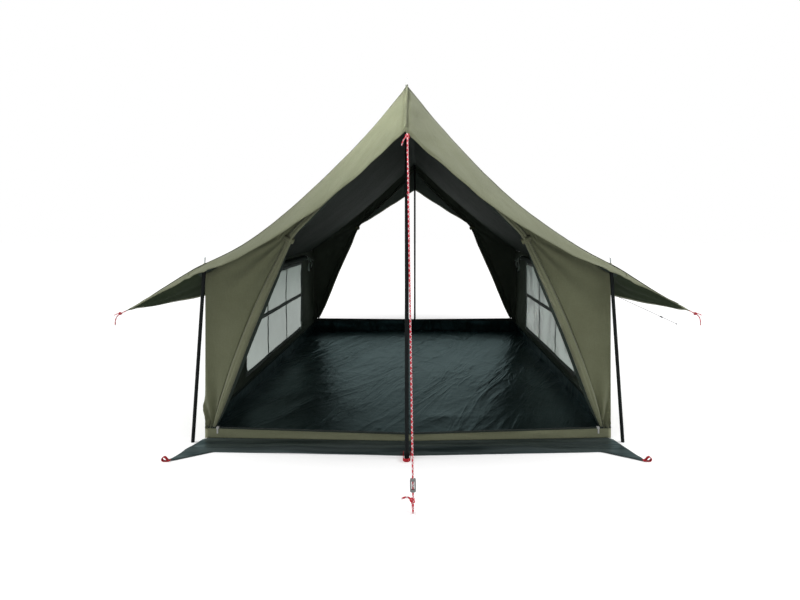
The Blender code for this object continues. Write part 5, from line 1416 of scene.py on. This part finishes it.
# %% Stage and lamps
AMBIENT, FLOOR_HALF, FLOOR_DROP = 0.48, 30, 0.0005
GLOW_NEAR, GLOW_FAR, GLOW_IN_GLOSS = 0.30, 0.67, 0.72
LAMPS = (("left_bank", (-6.0, -1.5, 4.5), (0, 0, 1.2), 3.0, 330, 180),
         ("right_bank", (6.0, -1.5, 4.5), (0, 0, 1.2), 3.0, 345, 180),
         ("apex_light", (-1.9, -3.4, 3.9), (-0.12, -1.70, 2.05), 0.9, 5.0, 24))

def white_world():
    """A world that is white to the camera and to reflections, and lights the tent softly."""
    world = bpy.data.worlds.new("white_studio")
    world.use_nodes = True
    web = Web(world.node_tree)
    seen, gloss, through = (web.node("ShaderNodeLightPath", f"Is {kind} Ray")
                            for kind in ("Camera", "Glossy", "Transmission"))
    shade = web.tree.nodes["Background"]
    feed(web.blend(gloss, (1.0, 1.0, 1.0), (0.52, 0.70, 0.70)), shade.inputs["Color"])
    white = seen.math("MAXIMUM", gloss).math("MAXIMUM", through)
    feed(white * (1.0 - AMBIENT) + AMBIENT, shade.inputs["Strength"])
    bpy.context.scene.world = world

def lamp(name, place, target, size, power, spread):
    """A soft square lamp that faces its target."""
    data = bpy.data.lights.new(name, "AREA")
    data.shape, data.size, data.energy, data.spread = "SQUARE", size, power, math.radians(spread)
    piece = bpy.data.objects.new(name, data)
    bpy.context.scene.collection.objects.link(piece)
    piece.location = place
    piece.rotation_euler = (Vector(target) - Vector(place)).to_track_quat("-Z", "Y").to_euler()

def white_floor():
    """A plain floor whose glow to the camera grows with its distance from the tent."""
    finish = tinted("white_floor", 0.9, (1, 1, 1), 0.8, 3.0, (0.80,) * 3, (0.82,) * 3, specular=0.0)
    x, y = (finish.place().axis(axis).math("ABSOLUTE") for axis in (0, 1))
    far_off = y.math("MAXIMUM", x - 3.3).stretched(1.2, 6.0)
    seen, gloss = (finish.node("ShaderNodeLightPath", f"Is {kind} Ray") for kind in ("Camera", "Glossy"))
    glow = seen * (far_off * (GLOW_FAR - GLOW_NEAR) + GLOW_NEAR) + gloss * GLOW_IN_GLOSS
    finish.set(Emission_Color=(1, 1, 1), Emission_Strength=glow)
    return finish.material

white_world()
for each in LAMPS:
    lamp(*each)
floor_mesh = bpy.data.meshes.new("studio_floor")
floor_corners = [(x * FLOOR_HALF, y * FLOOR_HALF, 0) for x, y in ((-1, -1), (1, -1), (1, 1), (-1, 1))]
floor_mesh.from_pydata(floor_corners, [], [(0, 1, 2, 3)])
floor_mesh.materials.append(white_floor())
studio_floor = bpy.data.objects.new("studio_floor", floor_mesh)
bpy.context.scene.collection.objects.link(studio_floor)
studio_floor.location.z = -FLOOR_DROP
bpy.context.scene.view_settings.view_transform = "Standard"
print("lamps:", len(bpy.data.lights))

# %% Boxes of the frame and of the dressed tent
def plain(box):
    """A box as plain lists of numbers."""
    return [[float(value) for value in corner] for corner in box]
